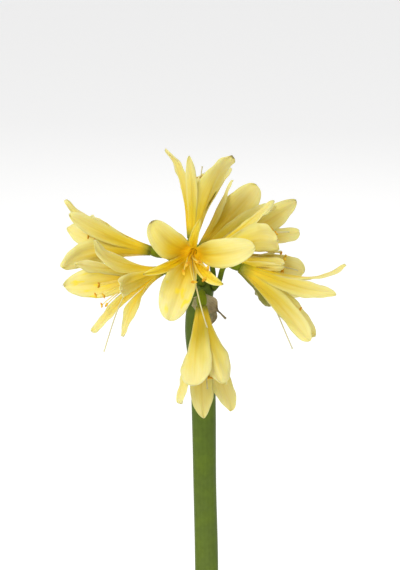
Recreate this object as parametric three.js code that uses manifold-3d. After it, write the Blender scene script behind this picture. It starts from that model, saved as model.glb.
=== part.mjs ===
// A clivia in flower, growing in a plain clay pot.
//
// Millimetres, +Z up. The origin is the middle of the pot's underside, and -Y is the front of the
// flower head. The head's florets are laid out in the head's own frame, in which x runs to the
// right, y runs up the face of the head, and z comes out of the face, towards the front.

import * as THREE from "three";
import { mergeVertices } from "three/addons/utils/BufferGeometryUtils.js";
import Module from "manifold-3d";

const wasm = await Module();
wasm.setup();

// ---------------------------------------------------------------- driving dimensions

const CLEARANCE = 0.3; // between pieces that touch

const POT_HEIGHT = 150;
const POT_FOOT_RADIUS = 58;
const POT_MOUTH_RADIUS = 82; // outside of the body, where it meets the top
const POT_WALL = 6;
const POT_FLOOR = 9;
const RIM_HEIGHT = 30;
const RIM_PROUD = 5; // how far the rim stands out of the body
const POT_CHAMFER = 2;
const POT_SIDES = 36;
const DRAIN_COUNT = 4;
const DRAIN_RADIUS = 5;
const DRAIN_CIRCLE = 32; // radius of the circle that the drain holes stand on
const DRAIN_SIDES = 12;

const SOIL_DROP = 16; // how far the soil's edge lies below the rim
const SOIL_CROWN = 5; // how much higher its middle is
const SOIL_SIDES = 24;

const HEAD_HEIGHT = 440; // from the middle of the soil to the middle of the flower head
const HEAD_LEAN = THREE.MathUtils.degToRad(20); // how far the head's face looks up

const SCAPE_WIDTH = 17; // the flower stem is flattened
const SCAPE_DEPTH = 12;
const SCAPE_BEND = -4; // how far the stem sways to the left below the head
const SCAPE_NECK = 80.5; // from the stem's top down to where it starts to sway
const SCAPE_BEND_DROP = 35.7; // from the stem's top down to the middle of the sway
const SCAPE_CROWDING = 2; // of the stem's rings, towards its top
const KNOB_RADIUS = 8; // the end of the stem, which carries the stalks
const KNOB_WIDTH = 2 * KNOB_RADIUS + 1;
const KNOB_DEPTH = 2 * KNOB_RADIUS - 2;
const STALK_RADIUS = 1.9;
const OVARY_RADIUS = 3.6;
const OVARY_LENGTH = 11;

const OUTER_TEPAL_WIDTH = 14.5;
const INNER_TEPAL_WIDTH = 20;
const TEPAL_REACH = 1; // all the tepals are this many times the lengths in FLORETS
const CLAW_WIDTH = 4.6; // a tepal's width where it starts
const TEPAL_DEPTH = 1.1; // thickness of the blade
const CLAW_DEPTH = 1.7;
const THROAT_RADIUS = 2.9; // of the ring that the six tepals start on
const RECEPTACLE_LENGTH = 1.6;
const TEPAL_STEPS = 6;
const TEPAL_CROWDING = 1.4; // of the rings along a tepal, towards its tip

const STAMEN_REACH = 1; // all the stamens are this many times the lengths in FLORETS
const STAMEN_SPREAD = THREE.MathUtils.degToRad(9); // of a stamen from the middle of the six
const FILAMENT_RADIUS = 0.6;
const ANTHER_LENGTH = 4.2;
const ANTHER_RADIUS = 0.9;
const STAMEN_RING_HEIGHT = 5; // above the receptacle
const STAMEN_RING_RADIUS = 1.75;
const STYLE_RADIUS = 0.5;
const STIGMA_RADIUS = 0.9;

const LEAF_WIDTH = 46;
const LEAF_DEPTH = 2.4;
const LEAF_FOOT_WIDTH = 30;
const LEAF_FOOT_DEPTH = 4;
const LEAF_CHANNEL = 5; // how far the edges stand above the midrib
const LEAF_FIRST = 14; // from the stem to the foot of the innermost leaf
const LEAF_PITCH = 6.2; // from each leaf's foot to the next one out
const LEAF_STEPS = 11;

// The leaves of each side, from the innermost out: length, angle above the horizontal at the foot
// and at the tip, sideways turn about the stem, and sideways shift of the foot.
const LEAVES = [
  { length: 205, rise: 88, fall: 34, turn: 6, shift: 2 },
  { length: 262, rise: 86, fall: 2, turn: -7, shift: -2 },
  { length: 305, rise: 83, fall: -24, turn: 5, shift: 1 },
  { length: 322, rise: 79, fall: -38, turn: -4, shift: -1 },
  { length: 306, rise: 74, fall: -40, turn: 8, shift: 2 },
  { length: 270, rise: 66, fall: -34, turn: -6, shift: -1 },
];

// The florets. place is where the perianth starts, and foot is where the stalk leaves the stem's
// knob. An aim is an angle in the face of the head, from x towards y, and an angle out of the face,
// in degrees. Each tepal has an aim from the place to its tip, the length between them, its curl
// outwards at the tip, its width as a share of its whorl's and its twist. The six are listed the
// right-handed way round the axis, an outer one first. stamens has the aim of the middle of the six
// and their length, and style has an aim, a length and a droop.
const FLORETS = [
  {
    name: "top",
    place: [-7.8, 35.4, -8],
    foot: [112, -22],
    axis: [84, -6],
    stamens: { aim: [90, -3], length: 48 },
    style: { aim: [82, -6], length: 50, droop: 0 },
    tepals: [
      { aim: [92, 16], length: 60, curl: 6, width: 0.58 },
      { aim: [63, 10], length: 65, curl: 34, width: 1.05 },
      { aim: [61, -18], length: 63, curl: 8, width: 0.9 },
      { aim: [80, -34], length: 60, curl: 24, width: 0.9 },
      { aim: [98, -30], length: 58, curl: 16, width: 0.9 },
      { aim: [107, 6], length: 66, curl: 40, width: 0.6, twist: -10 },
    ],
  },
  {
    name: "upper_right",
    place: [-2, 29, -24],
    foot: [72, -52],
    axis: [48, -42],
    stamens: { aim: [48, -42], length: 46 },
    style: { aim: [48, -44], length: 50, droop: 0 },
    tepals: [
      { aim: [66, -30], length: 68, curl: 2, width: 0.95, twist: 20 },
      { aim: [49, -22], length: 70, curl: 16, width: 1.2 },
      { aim: [34, -24], length: 67, curl: 6, width: 0.9 },
      { aim: [24, -54], length: 60, curl: 16, width: 1 },
      { aim: [38, -72], length: 60, curl: 20, width: 1 },
      { aim: [64, -66], length: 60, curl: 12, width: 0.9 },
    ],
  },
  {
    name: "high_right",
    place: [5, 27, -4],
    foot: [68, 2],
    axis: [20, 4],
    stamens: { aim: [12, 5], length: 51 },
    style: { aim: [14, 2], length: 54, droop: 4 },
    tepals: [
      { aim: [39, 14], length: 58, curl: 6, width: 0.62 },
      { aim: [9, 30], length: 52, curl: 48, width: 1.1 },
      { aim: [-1, 0], length: 50, curl: 20, width: 0.8 },
      { aim: [12, -15], length: 68, curl: 10, width: 0.85 },
      { aim: [31, -19], length: 77, curl: 16, width: 1.25 },
      { aim: [36, -10], length: 58, curl: 16, width: 0.85 },
    ],
  },
  {
    name: "right",
    place: [17, 22, -14],
    foot: [38, -24],
    axis: [-10, 4],
    stamens: { aim: [-6, 12], length: 42 },
    style: { aim: [-9, 4], length: 48, droop: 2 },
    tepals: [
      { aim: [12, -8], length: 38, curl: 30, width: 0.8 },
      { aim: [-5, 35], length: 46, curl: 34, width: 0.5 },
      { aim: [-10, 44], length: 53, curl: 14, width: 0.5 },
      { aim: [-24, -6], length: 50, curl: 14, width: 0.9 },
      { aim: [-18, -26], length: 54, curl: 10, width: 1 },
      { aim: [-9, -15], length: 59, curl: 8, width: 1.1 },
    ],
  },
  {
    name: "low_right",
    place: [25, 16, 12],
    foot: [14, 18],
    axis: [-30, -4],
    stamens: { aim: [-30, -2], length: 51 },
    style: { aim: [-58, 6], length: 64, droop: 6 },
    tepals: [
      { aim: [-16, 17], length: 70, curl: 16, width: 0.95 },
      { aim: [-47, 14], length: 71, curl: 8, width: 0.8 },
      { aim: [-54, -26], length: 38, curl: 4, width: 1.15, twist: 14 },
      { aim: [-42, -15], length: 75, curl: 8, width: 0.9 },
      { aim: [-24, -36], length: 60, curl: 16, width: 1 },
      { aim: [2, -6], length: 74, curl: 44, width: 0.7 },
    ],
  },
  {
    name: "hanging",
    place: [-1, -10, 21],
    foot: [-86, 66],
    axis: [-88, 8],
    stamens: { aim: [-88, 7], length: 53 },
    style: { aim: [-86, 4], length: 54, droop: 0 },
    tepals: [
      { aim: [-72, 2], length: 57, curl: 2, width: 0.9 },
      { aim: [-72, 19], length: 56, curl: 2, width: 1, twist: -14 },
      { aim: [-97, 23], length: 58, curl: 2, width: 1.5 },
      { aim: [-104, 2], length: 69, curl: 8, width: 0.8, twist: 30 },
      { aim: [-89, -7], length: 79, curl: 2, width: 1.25 },
      { aim: [-74, -8], length: 77, curl: 2, width: 0.85 },
    ],
  },
  {
    name: "front",
    place: [-6, 27, 27],
    foot: [100, 50],
    axis: [-120, 71],
    stamens: { aim: [-94, 70], length: 43 },
    style: { aim: [-80, 41], length: 66, droop: -8 },
    tepals: [
      { aim: [78, 70], length: 55, curl: 50, width: 0.45 },
      { aim: [147, 59], length: 61, curl: 52, width: 1 },
      { aim: [-153, 50], length: 57, curl: 40, width: 0.5 },
      { aim: [-109, 35], length: 60, curl: 34, width: 1.12 },
      { aim: [-51, 54], length: 50, curl: 70, width: 0.55 },
      { aim: [2, 56], length: 68, curl: 58, width: 1 },
    ],
  },
  {
    name: "high_left",
    place: [-35.7, 27.3, 0],
    foot: [146, -2],
    axis: [168, -2],
    stamens: { aim: [168, -2], length: 46 },
    style: { aim: [176, -8], length: 46, droop: 4 },
    tepals: [
      { aim: [149, 4], length: 70, curl: 30, width: 0.8, twist: 20 },
      { aim: [151, -35], length: 63, curl: 16, width: 0.8 },
      { aim: [164, -21], length: 69, curl: 10, width: 1.3 },
      { aim: [192, -46], length: 58, curl: 10, width: 0.8 },
      { aim: [191, 11], length: 64, curl: 30, width: 1.4, twist: -30 },
      { aim: [156, 18], length: 64, curl: 8, width: 0.62 },
    ],
  },
  {
    name: "low_left",
    place: [-27.6, 13.8, 12],
    foot: [168, 36],
    axis: [197, 14],
    stamens: { aim: [203, 16], length: 50 },
    style: { aim: [236, 24], length: 70, droop: 22 },
    tepals: [
      { aim: [156, 30], length: 56, curl: 40, width: 0.9, twist: 30 },
      { aim: [175, 9], length: 61, curl: 8, width: 0.85 },
      { aim: [189, -8], length: 71, curl: 10, width: 1.55 },
      { aim: [222, -2], length: 65, curl: 10, width: 0.55 },
      { aim: [240, 24], length: 57, curl: 8, width: 0.9, twist: 40 },
      { aim: [208, 58], length: 54, curl: 36, width: 0.68 },
    ],
  },
];

// The papery bracts that wrapped the bud: where each leaves the knob, where it points, its length,
// its width and its turn about its spine.
const BRACTS = [
  { name: "right_bract", foot: [-139, 44], aim: [-16, 2], length: 26, width: 13, turn: 90 },
  { name: "left_bract", foot: [-152, 12], aim: [-162, -10], length: 15, width: 10, turn: -30 },
  { name: "back_bract", foot: [-90, -66], aim: [-80, -40], length: 34, width: 15, turn: 0 },
];
const BRACT_DEPTH = 0.9;
const BRACT_CUP = 3;
const BRACT_GAP = 4; // from the knob's surface to where a bract starts

// ---------------------------------------------------------------- materials

const finish = (colour, roughness) => () =>
  new THREE.MeshStandardMaterial({ color: colour, roughness, metalness: 0 });
const clay = finish(0xb5663f, 0.85);
const soil = finish(0x3b2a1e, 1);
const leafGreen = finish(0x2c5a24, 0.4);
const stemGreen = finish(0x3f6b25, 0.5);
const petalYellow = finish(0xf2dc5a, 0.6);
const antherGold = finish(0xe2940f, 0.7);
const styleCream = finish(0xefe08a, 0.5);
const driedBract = finish(0x8f8664, 0.8);

// ---------------------------------------------------------------- frames and limbs

const vector = (x, y, z) => new THREE.Vector3(x, y, z);

// The unit vector of an aim: an angle from x towards y, and an angle towards z, in degrees.
function aimed([around, out]) {
  const a = THREE.MathUtils.degToRad(around);
  const b = THREE.MathUtils.degToRad(out);
  return vector(Math.cos(b) * Math.cos(a), Math.cos(b) * Math.sin(a), Math.sin(b));
}

// What is left of v once its part along the unit vector n is taken away, as a unit vector.
const squaredTo = (v, n) => v.clone().addScaledVector(n, -v.dot(n)).normalize();

const smooth = (from, to, s) => THREE.MathUtils.smoothstep(s, from, to);

// A closed body along a curve. Its rings keep the turn of the first one, whose width lies along
// across, and section(s) gives the width, depth and cup of the ring at the share s of the length.
// A crowding above 1 sets the rings closer together towards the end.
function limb(curve, across, sides, steps, section, crowding = 1) {
  const spine = [];
  let side = across;
  for (let k = 0; k <= steps; k++) {
    const s = 1 - (1 - k / steps) ** crowding;
    const along = curve.getTangentAt(s);
    side = squaredTo(side, along);
    const face = side.clone().cross(along);
    spine.push({ s, centre: curve.getPointAt(s), side, face });
  }
  const body = new THREE.CylinderGeometry(1, 1, 1, sides, steps);
  const position = body.getAttribute("position");
  for (let i = 0; i < position.count; i++) {
    const { s, centre, side: wide, face } = spine[Math.round((position.getY(i) + 0.5) * steps)];
    const { width, depth, cup = 0, turn = 0 } = section(s);
    const u = position.getX(i);
    const x = (u * width) / 2;
    const z = (position.getZ(i) * depth) / 2 + cup * u * u;
    const place = centre
      .clone()
      .addScaledVector(wide, x * Math.cos(turn) - z * Math.sin(turn))
      .addScaledVector(face, x * Math.sin(turn) + z * Math.cos(turn));
    position.setXYZ(i, place.x, place.y, place.z);
  }
  return body;
}

// A geometry as a manifold solid, and a manifold solid as a geometry.
function toSolid(geometry) {
  const bare = new THREE.BufferGeometry();
  bare.setAttribute("position", geometry.getAttribute("position"));
  bare.setIndex(geometry.index);
  const merged = mergeVertices(bare, 1e-3);
  return new wasm.Manifold(
    new wasm.Mesh({
      numProp: 3,
      vertProperties: merged.getAttribute("position").array,
      triVerts: new Uint32Array(merged.index.array),
    }),
  );
}

function toGeometry(solid) {
  const mesh = solid.getMesh();
  const geometry = new THREE.BufferGeometry();
  geometry.setAttribute("position", new THREE.BufferAttribute(mesh.vertProperties, 3));
  geometry.setIndex(new THREE.BufferAttribute(mesh.triVerts, 1));
  return geometry;
}

function joined(geometries) {
  return toGeometry(geometries.map(toSolid).reduce((all, one) => all.add(one)));
}

function piece(name, geometry, material) {
  const mesh = new THREE.Mesh(geometry, material());
  mesh.name = name;
  return mesh;
}

// ---------------------------------------------------------------- pot and soil

const bodyRadius = (z) =>
  POT_FOOT_RADIUS + ((POT_MOUTH_RADIUS - POT_FOOT_RADIUS) * z) / POT_HEIGHT;

function pot() {
  const rimFoot = POT_HEIGHT - RIM_HEIGHT;
  const rimRadius = POT_MOUTH_RADIUS + RIM_PROUD;
  const profile = [
    [0, 0],
    [POT_FOOT_RADIUS - POT_CHAMFER, 0],
    [bodyRadius(POT_CHAMFER), POT_CHAMFER],
    [bodyRadius(rimFoot), rimFoot],
    [rimRadius - POT_CHAMFER, rimFoot],
    [rimRadius, rimFoot + POT_CHAMFER],
    [rimRadius, POT_HEIGHT - POT_CHAMFER],
    [rimRadius - POT_CHAMFER, POT_HEIGHT],
    [bodyRadius(POT_HEIGHT) - POT_WALL, POT_HEIGHT],
    [bodyRadius(POT_FLOOR) - POT_WALL, POT_FLOOR],
    [0, POT_FLOOR],
  ];
  const wall = new THREE.LatheGeometry(
    profile.map(([r, z]) => new THREE.Vector2(r, z)),
    POT_SIDES,
  ).rotateX(Math.PI / 2);
  let shell = toSolid(wall);
  for (let k = 0; k < DRAIN_COUNT; k++) {
    const angle = ((k + 0.5) * 2 * Math.PI) / DRAIN_COUNT;
    const drill = new THREE.CylinderGeometry(
      DRAIN_RADIUS,
      DRAIN_RADIUS,
      3 * POT_FLOOR,
      DRAIN_SIDES,
    ).rotateX(Math.PI / 2);
    drill.translate(DRAIN_CIRCLE * Math.cos(angle), DRAIN_CIRCLE * Math.sin(angle), 0);
    shell = shell.subtract(toSolid(drill));
  }
  return piece("pot", toGeometry(shell), clay);
}

const SOIL_EDGE = POT_HEIGHT - SOIL_DROP;
const soilRadius = (z) => bodyRadius(z) - POT_WALL - 2 * CLEARANCE;
// Height of the soil at a distance from the middle.
const soilTop = (r) => SOIL_EDGE + SOIL_CROWN * (1 - (r / soilRadius(SOIL_EDGE)) ** 2);

function pottingSoil() {
  const rings = 3;
  const profile = [
    [0, POT_FLOOR + CLEARANCE],
    [soilRadius(POT_FLOOR), POT_FLOOR + CLEARANCE],
  ];
  for (let k = rings; k >= 0; k--) {
    const r = (soilRadius(SOIL_EDGE) * k) / rings;
    profile.push([r, soilTop(r)]);
  }
  const body = new THREE.LatheGeometry(
    profile.map(([r, z]) => new THREE.Vector2(r, z)),
    SOIL_SIDES,
  ).rotateX(Math.PI / 2);
  return piece("potting_soil", body, soil);
}

// ---------------------------------------------------------------- leaves

// A leaf's midrib: its angle above the horizontal falls from rise to fall along its length.
function leafSpine({ length, rise, fall }) {
  const points = [];
  const count = 24;
  let out = 0;
  let up = 0;
  for (let k = 0; k <= count; k++) {
    points.push(vector(out, 0, up));
    const s = (k + 0.5) / count;
    const angle = THREE.MathUtils.degToRad(rise + (fall - rise) * s ** 0.85);
    out += (Math.cos(angle) * length) / count;
    up += (Math.sin(angle) * length) / count;
  }
  return new THREE.CatmullRomCurve3(points);
}

function leafSection(s) {
  const swell = smooth(0, 0.45, s);
  const taper = s > 0.72 ? Math.sqrt(Math.max(0, 1 - ((s - 0.72) / 0.285) ** 2)) : 1;
  const width = (LEAF_FOOT_WIDTH + (LEAF_WIDTH - LEAF_FOOT_WIDTH) * swell) * taper;
  return {
    width,
    depth: LEAF_FOOT_DEPTH + (LEAF_DEPTH - LEAF_FOOT_DEPTH) * smooth(0, 0.3, s),
    cup: (LEAF_CHANNEL * width) / LEAF_WIDTH,
  };
}

function leaves() {
  const made = new THREE.Group();
  for (const [side, heading] of [
    ["right", 0],
    ["left", 180],
  ]) {
    LEAVES.forEach((leaf, k) => {
      const foot = LEAF_FIRST + LEAF_PITCH * k;
      const body = limb(leafSpine(leaf), vector(0, -1, 0), 6, LEAF_STEPS, leafSection);
      const mesh = piece(`${side}_leaf_${k + 1}`, body, leafGreen);
      const fan = new THREE.Group();
      mesh.rotation.z = THREE.MathUtils.degToRad(leaf.turn);
      mesh.position.set(foot, leaf.shift, soilTop(0) + CLEARANCE + 1);
      fan.rotation.z = THREE.MathUtils.degToRad(heading);
      fan.add(mesh);
      made.add(fan);
    });
  }
  return made;
}

// ---------------------------------------------------------------- flower stem and bracts

const HEAD_Z = SOIL_EDGE + SOIL_CROWN + HEAD_HEIGHT;

function scape() {
  const foot = soilTop(0) + CLEARANCE;
  const top = HEAD_Z + KNOB_RADIUS * 0.86;
  const length = top - foot;
  const curve = new THREE.CatmullRomCurve3([
    vector(0, 0, foot),
    vector(3, 3, foot + length * 0.4),
    vector(1.4, 2.5, top - 2 * SCAPE_NECK),
    vector(0, 2, top - SCAPE_NECK),
    vector(SCAPE_BEND, 0, top - SCAPE_BEND_DROP),
    vector(0, 0, top),
  ]);
  const section = (s) => {
    const rest = (1 - s) * length; // from the top
    const dome = Math.sqrt(Math.max(0.02, 1 - Math.max(0, 1 - rest / KNOB_RADIUS) ** 2));
    const knob = smooth(0.9, 1, s);
    const width = SCAPE_WIDTH + (KNOB_WIDTH - SCAPE_WIDTH) * knob;
    const depth = SCAPE_DEPTH + (KNOB_DEPTH - SCAPE_DEPTH) * knob;
    return { width: width * dome, depth: depth * dome };
  };
  const body = limb(curve, vector(1, 0, 0), 10, 20, section, SCAPE_CROWDING);
  return piece("flower_stem", body, stemGreen);
}

function bract({ name, foot, aim, length, width, turn }) {
  const out = aimed(aim);
  const start = aimed(foot).multiplyScalar(KNOB_RADIUS + BRACT_GAP);
  const curve = new THREE.QuadraticBezierCurve3(
    start,
    start.clone().addScaledVector(out, length * 0.5),
    start.clone().addScaledVector(out, length * 0.9).addScaledVector(vector(0, -1, 0), length * 0.3),
  );
  const body = limb(curve, vector(0, 1, 0).cross(out), 6, 6, (s) => ({
    width: width * (0.35 + 0.65 * Math.sin(Math.PI * Math.min(1, 0.15 + s * 0.83))),
    depth: BRACT_DEPTH,
    cup: BRACT_CUP * (1 - s),
    turn: THREE.MathUtils.degToRad(turn * (0.4 + s)),
  }));
  return piece(name, body, driedBract);
}

// ---------------------------------------------------------------- florets

function tepalSection(width, twist = 0) {
  return (s) => {
    const swell = smooth(0, 0.68, s);
    const round = s > 0.66 ? Math.sqrt(Math.max(0.006, 1 - ((s - 0.66) / 0.34) ** 2)) : 1;
    return {
      width: (CLAW_WIDTH + (width - CLAW_WIDTH) * swell) * round,
      depth: CLAW_DEPTH + (TEPAL_DEPTH - CLAW_DEPTH) * swell,
      cup: -1.3 * (0.4 + 0.6 * swell) * (width / INNER_TEPAL_WIDTH),
      turn: THREE.MathUtils.degToRad(twist) * swell,
    };
  };
}

// The spine of a tepal: it leaves the throat along the axis and curls outwards to its tip.
function tepalSpine(place, axis, outward, tepal) {
  const reach = tepal.length * TEPAL_REACH;
  const tip = place.clone().addScaledVector(aimed(tepal.aim), reach);
  const start = place
    .clone()
    .addScaledVector(outward, THROAT_RADIUS)
    .addScaledVector(axis, CLEARANCE + RECEPTACLE_LENGTH * 0.4);
  const lean = start.clone().addScaledVector(axis, reach * 0.3).addScaledVector(outward, reach * 0.06);
  const chord = tip.clone().sub(lean).normalize();
  const away = squaredTo(squaredTo(tip.clone().sub(place), axis), chord);
  const curl = THREE.MathUtils.degToRad(tepal.curl);
  const end = chord.multiplyScalar(Math.cos(curl)).addScaledVector(away, Math.sin(curl));
  return new THREE.CubicBezierCurve3(start, lean, tip.clone().addScaledVector(end, -reach * 0.3), tip);
}

// Six outward directions, 60 degrees apart round the axis, turned to meet the six tips best.
function throatDirections(axis, tepals) {
  const level = squaredTo(vector(0.3, 0.2, 1), axis);
  const square = axis.clone().cross(level);
  let sine = 0;
  let cosine = 0;
  tepals.forEach(({ aim }, k) => {
    const tip = aimed(aim);
    const angle = Math.atan2(tip.dot(square), tip.dot(level)) - (k * Math.PI) / 3;
    sine += Math.sin(angle);
    cosine += Math.cos(angle);
  });
  const first = Math.atan2(sine, cosine);
  return tepals.map((_, k) => {
    const angle = first + (k * Math.PI) / 3;
    return level
      .clone()
      .multiplyScalar(Math.cos(angle))
      .addScaledVector(square, Math.sin(angle));
  });
}

function perianth(floret) {
  const { name, place, axis, tepals } = floret;
  const foot = vector(...place);
  const along = aimed(axis);
  const parts = throatDirections(along, tepals).map((outward, k) => {
    const spine = tepalSpine(foot, along, outward, tepals[k]);
    const whorl = k % 2 ? INNER_TEPAL_WIDTH : OUTER_TEPAL_WIDTH;
    const across = along.clone().cross(outward);
    const section = tepalSection(whorl * tepals[k].width, tepals[k].twist);
    return limb(spine, across, 4, TEPAL_STEPS, section, TEPAL_CROWDING);
  });
  const base = foot.clone().addScaledVector(along, CLEARANCE);
  const top = base.clone().addScaledVector(along, RECEPTACLE_LENGTH);
  const plate = limb(new THREE.LineCurve3(base, top), squaredTo(vector(0, 0, 1), along), 10, 1, () => ({
    width: 2 * (THROAT_RADIUS + 0.5),
    depth: 2 * (THROAT_RADIUS + 0.5),
  }));
  const room = toSolid(styleBody(floret, CLEARANCE));
  const whole = toSolid(joined([plate, ...parts])).subtract(room);
  return piece(`${name}_floret_tepals`, toGeometry(whole), petalYellow);
}

function stamens({ name, place, axis, stamens: { aim, length }, tepals }) {
  const along = aimed(axis);
  const reach = length * STAMEN_REACH;
  const foot = vector(...place).addScaledVector(along, STAMEN_RING_HEIGHT);
  const ring = new THREE.TorusGeometry(STAMEN_RING_RADIUS, FILAMENT_RADIUS * 0.9, 3, 6);
  ring.applyQuaternion(new THREE.Quaternion().setFromUnitVectors(vector(0, 0, 1), along));
  ring.translate(foot.x, foot.y, foot.z);
  const parts = [ring];
  for (const outward of throatDirections(along, tepals)) {
    const start = foot.clone().addScaledVector(outward, STAMEN_RING_RADIUS);
    const lean = aimed(aim).multiplyScalar(Math.cos(STAMEN_SPREAD));
    lean.addScaledVector(outward, Math.sin(STAMEN_SPREAD));
    const tip = start.clone().addScaledVector(lean, reach - STAMEN_RING_HEIGHT);
    const middle = start.clone().addScaledVector(along, reach * 0.5);
    const across = along.clone().cross(outward);
    const width = 2 * FILAMENT_RADIUS;
    parts.push(
      limb(new THREE.QuadraticBezierCurve3(start, middle, tip), across, 3, 2, () => ({
        width,
        depth: width,
      })),
    );
    const anther = new THREE.OctahedronGeometry(ANTHER_RADIUS, 0);
    anther.scale(1, 1, ANTHER_LENGTH / (2 * ANTHER_RADIUS));
    anther.applyQuaternion(new THREE.Quaternion().setFromUnitVectors(vector(0, 0, 1), across));
    anther.translate(tip.x, tip.y, tip.z);
    parts.push(anther);
  }
  return piece(`${name}_floret_stamens`, joined(parts), antherGold);
}

// A floret's style, made fatter all round by an allowance.
function styleBody({ place, axis, style: { aim, length, droop } }, allowance = 0) {
  const along = aimed(axis);
  const start = vector(...place).addScaledVector(along, 3 * CLEARANCE + RECEPTACLE_LENGTH);
  const tip = start.clone().addScaledVector(aimed(aim), length);
  const curve = new THREE.CubicBezierCurve3(
    start,
    start.clone().addScaledVector(along, length * 0.35),
    tip.clone().addScaledVector(aimed(aim), -length * 0.3).addScaledVector(vector(0, 1, 0), droop),
    tip,
  );
  return limb(curve, squaredTo(vector(0, 0, 1), along), 4, 6, (s) => {
    const radius = (s > 0.99 ? STIGMA_RADIUS : STYLE_RADIUS) + allowance;
    return { width: 2 * radius, depth: 2 * radius };
  });
}

function style(floret) {
  return piece(`${floret.name}_floret_style`, styleBody(floret), styleCream);
}

function stalk({ name, place, axis, foot }) {
  const along = aimed(axis);
  const end = vector(...place);
  const out = aimed(foot);
  const start = out.clone().multiplyScalar(KNOB_RADIUS + 2 * CLEARANCE);
  const shoulder = end.clone().addScaledVector(along, -OVARY_LENGTH);
  const span = start.distanceTo(shoulder);
  const curve = new THREE.CubicBezierCurve3(
    start,
    start.clone().addScaledVector(out, span * 0.4),
    end.clone().addScaledVector(along, -OVARY_LENGTH - span * 0.35),
    end,
  );
  const length = curve.getLength();
  const body = limb(curve, squaredTo(vector(0, 0, 1), out), 6, 9, (s) => {
    const rest = (1 - s) * length; // from the perianth
    const swell = rest < OVARY_LENGTH ? Math.sin((Math.PI * (rest / OVARY_LENGTH + 0.35)) / 1.35) : 0;
    const radius = STALK_RADIUS + (OVARY_RADIUS - STALK_RADIUS) * Math.max(0, swell);
    return { width: 2 * radius, depth: 2 * radius };
  });
  return piece(`${name}_floret_stalk`, body, stemGreen);
}

// ---------------------------------------------------------------- the plant

const plant = new THREE.Group();
plant.add(pot(), pottingSoil(), leaves(), scape());

const head = new THREE.Group();
head.position.z = HEAD_Z;
head.rotation.x = Math.PI / 2 - HEAD_LEAN;
for (const floret of FLORETS) head.add(perianth(floret), stamens(floret), style(floret), stalk(floret));
for (const sheath of BRACTS) head.add(bract(sheath));
plant.add(head);

export default plant;
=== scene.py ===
"""A clivia in flower, growing in a plain clay pot.

Metres, +Z up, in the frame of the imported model: the origin is the middle of the pot's underside and
-Y is the front of the flower head. The florets are laid out in the head's own frame, in which x runs
to the right, y up the face of the head and z out of the face, towards the front.
"""

import logging
import math
import random
from dataclasses import dataclass, field
from enum import Enum
from typing import Any, Callable, Optional, Sequence

import bmesh
import bpy
import numpy as np
from mathutils import Matrix, Vector, noise


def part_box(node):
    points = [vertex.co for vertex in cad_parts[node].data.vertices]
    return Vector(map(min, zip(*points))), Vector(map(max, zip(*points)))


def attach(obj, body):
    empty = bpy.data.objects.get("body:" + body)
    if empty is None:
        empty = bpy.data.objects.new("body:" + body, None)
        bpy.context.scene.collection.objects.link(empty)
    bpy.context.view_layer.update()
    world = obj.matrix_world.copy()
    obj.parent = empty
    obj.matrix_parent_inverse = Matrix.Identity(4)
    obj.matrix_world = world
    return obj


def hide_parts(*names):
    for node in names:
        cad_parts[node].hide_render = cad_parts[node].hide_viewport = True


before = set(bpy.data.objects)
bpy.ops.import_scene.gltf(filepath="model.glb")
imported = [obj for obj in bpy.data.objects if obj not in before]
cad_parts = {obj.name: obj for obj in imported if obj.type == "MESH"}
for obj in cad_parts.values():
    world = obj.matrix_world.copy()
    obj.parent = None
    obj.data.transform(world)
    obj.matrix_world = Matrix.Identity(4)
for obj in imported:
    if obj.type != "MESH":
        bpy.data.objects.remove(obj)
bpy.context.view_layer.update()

LOG = logging.getLogger("clivia")

Aim = tuple[float, float]
Line = Callable[[np.ndarray], np.ndarray]


# ---------------------------------------------------------------- sizes shared by several pieces

HEAD_LEAN = math.radians(20)
KNOB_RADIUS = 0.008
STEM_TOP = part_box("flower_stem")[1].z
HEAD_CENTRE = np.array([0.0, 0.0, STEM_TOP - 0.86 * KNOB_RADIUS])
POT_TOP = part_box("pot")[1].z
SOIL_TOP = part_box("potting_soil")[1].z

HEAD_AXES = np.array(
    [
        [1.0, 0.0, 0.0],
        [0.0, math.sin(HEAD_LEAN), math.cos(HEAD_LEAN)],
        [0.0, -math.cos(HEAD_LEAN), math.sin(HEAD_LEAN)],
    ]
)


class Whorl(Enum):
    """Which ring of three a tepal belongs to, with the width of its blade."""

    OUTER = 0.0145
    INNER = 0.020


@dataclass(frozen=True)
class Tepal:
    """One tepal: where its tip points from the throat, its length, and how its blade lies.

    full is how wedge-shaped and blunt it is, tip how dark its end is, spots how blotched its blade
    is, green how far a dark olive painted shade covers it, and gold how far the throat's colour runs, each
    from 0 to 1.
    """

    aim: Aim
    length: float
    curl: float
    width: float
    twist: float = 0.0
    full: float = 0.0
    tip: float = 0.0
    spots: float = 0.0
    green: float = 0.0
    gold: float = 0.0


@dataclass(frozen=True)
class Stamens:
    """A floret's six stamens: where the middle of them points, and their length."""

    aim: Aim
    length: float


@dataclass(frozen=True)
class Style:
    """A floret's style: where its end points from the throat, its length and its droop."""

    aim: Aim
    length: float
    droop: float


@dataclass(frozen=True)
class Floret:
    """One floret, in the head's frame. The tepals go round the axis, an outer one first."""

    name: str
    place: tuple[float, float, float]
    foot: Aim
    axis: Aim
    stamens: Stamens
    style: Style
    tepals: tuple[Tepal, ...]


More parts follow.
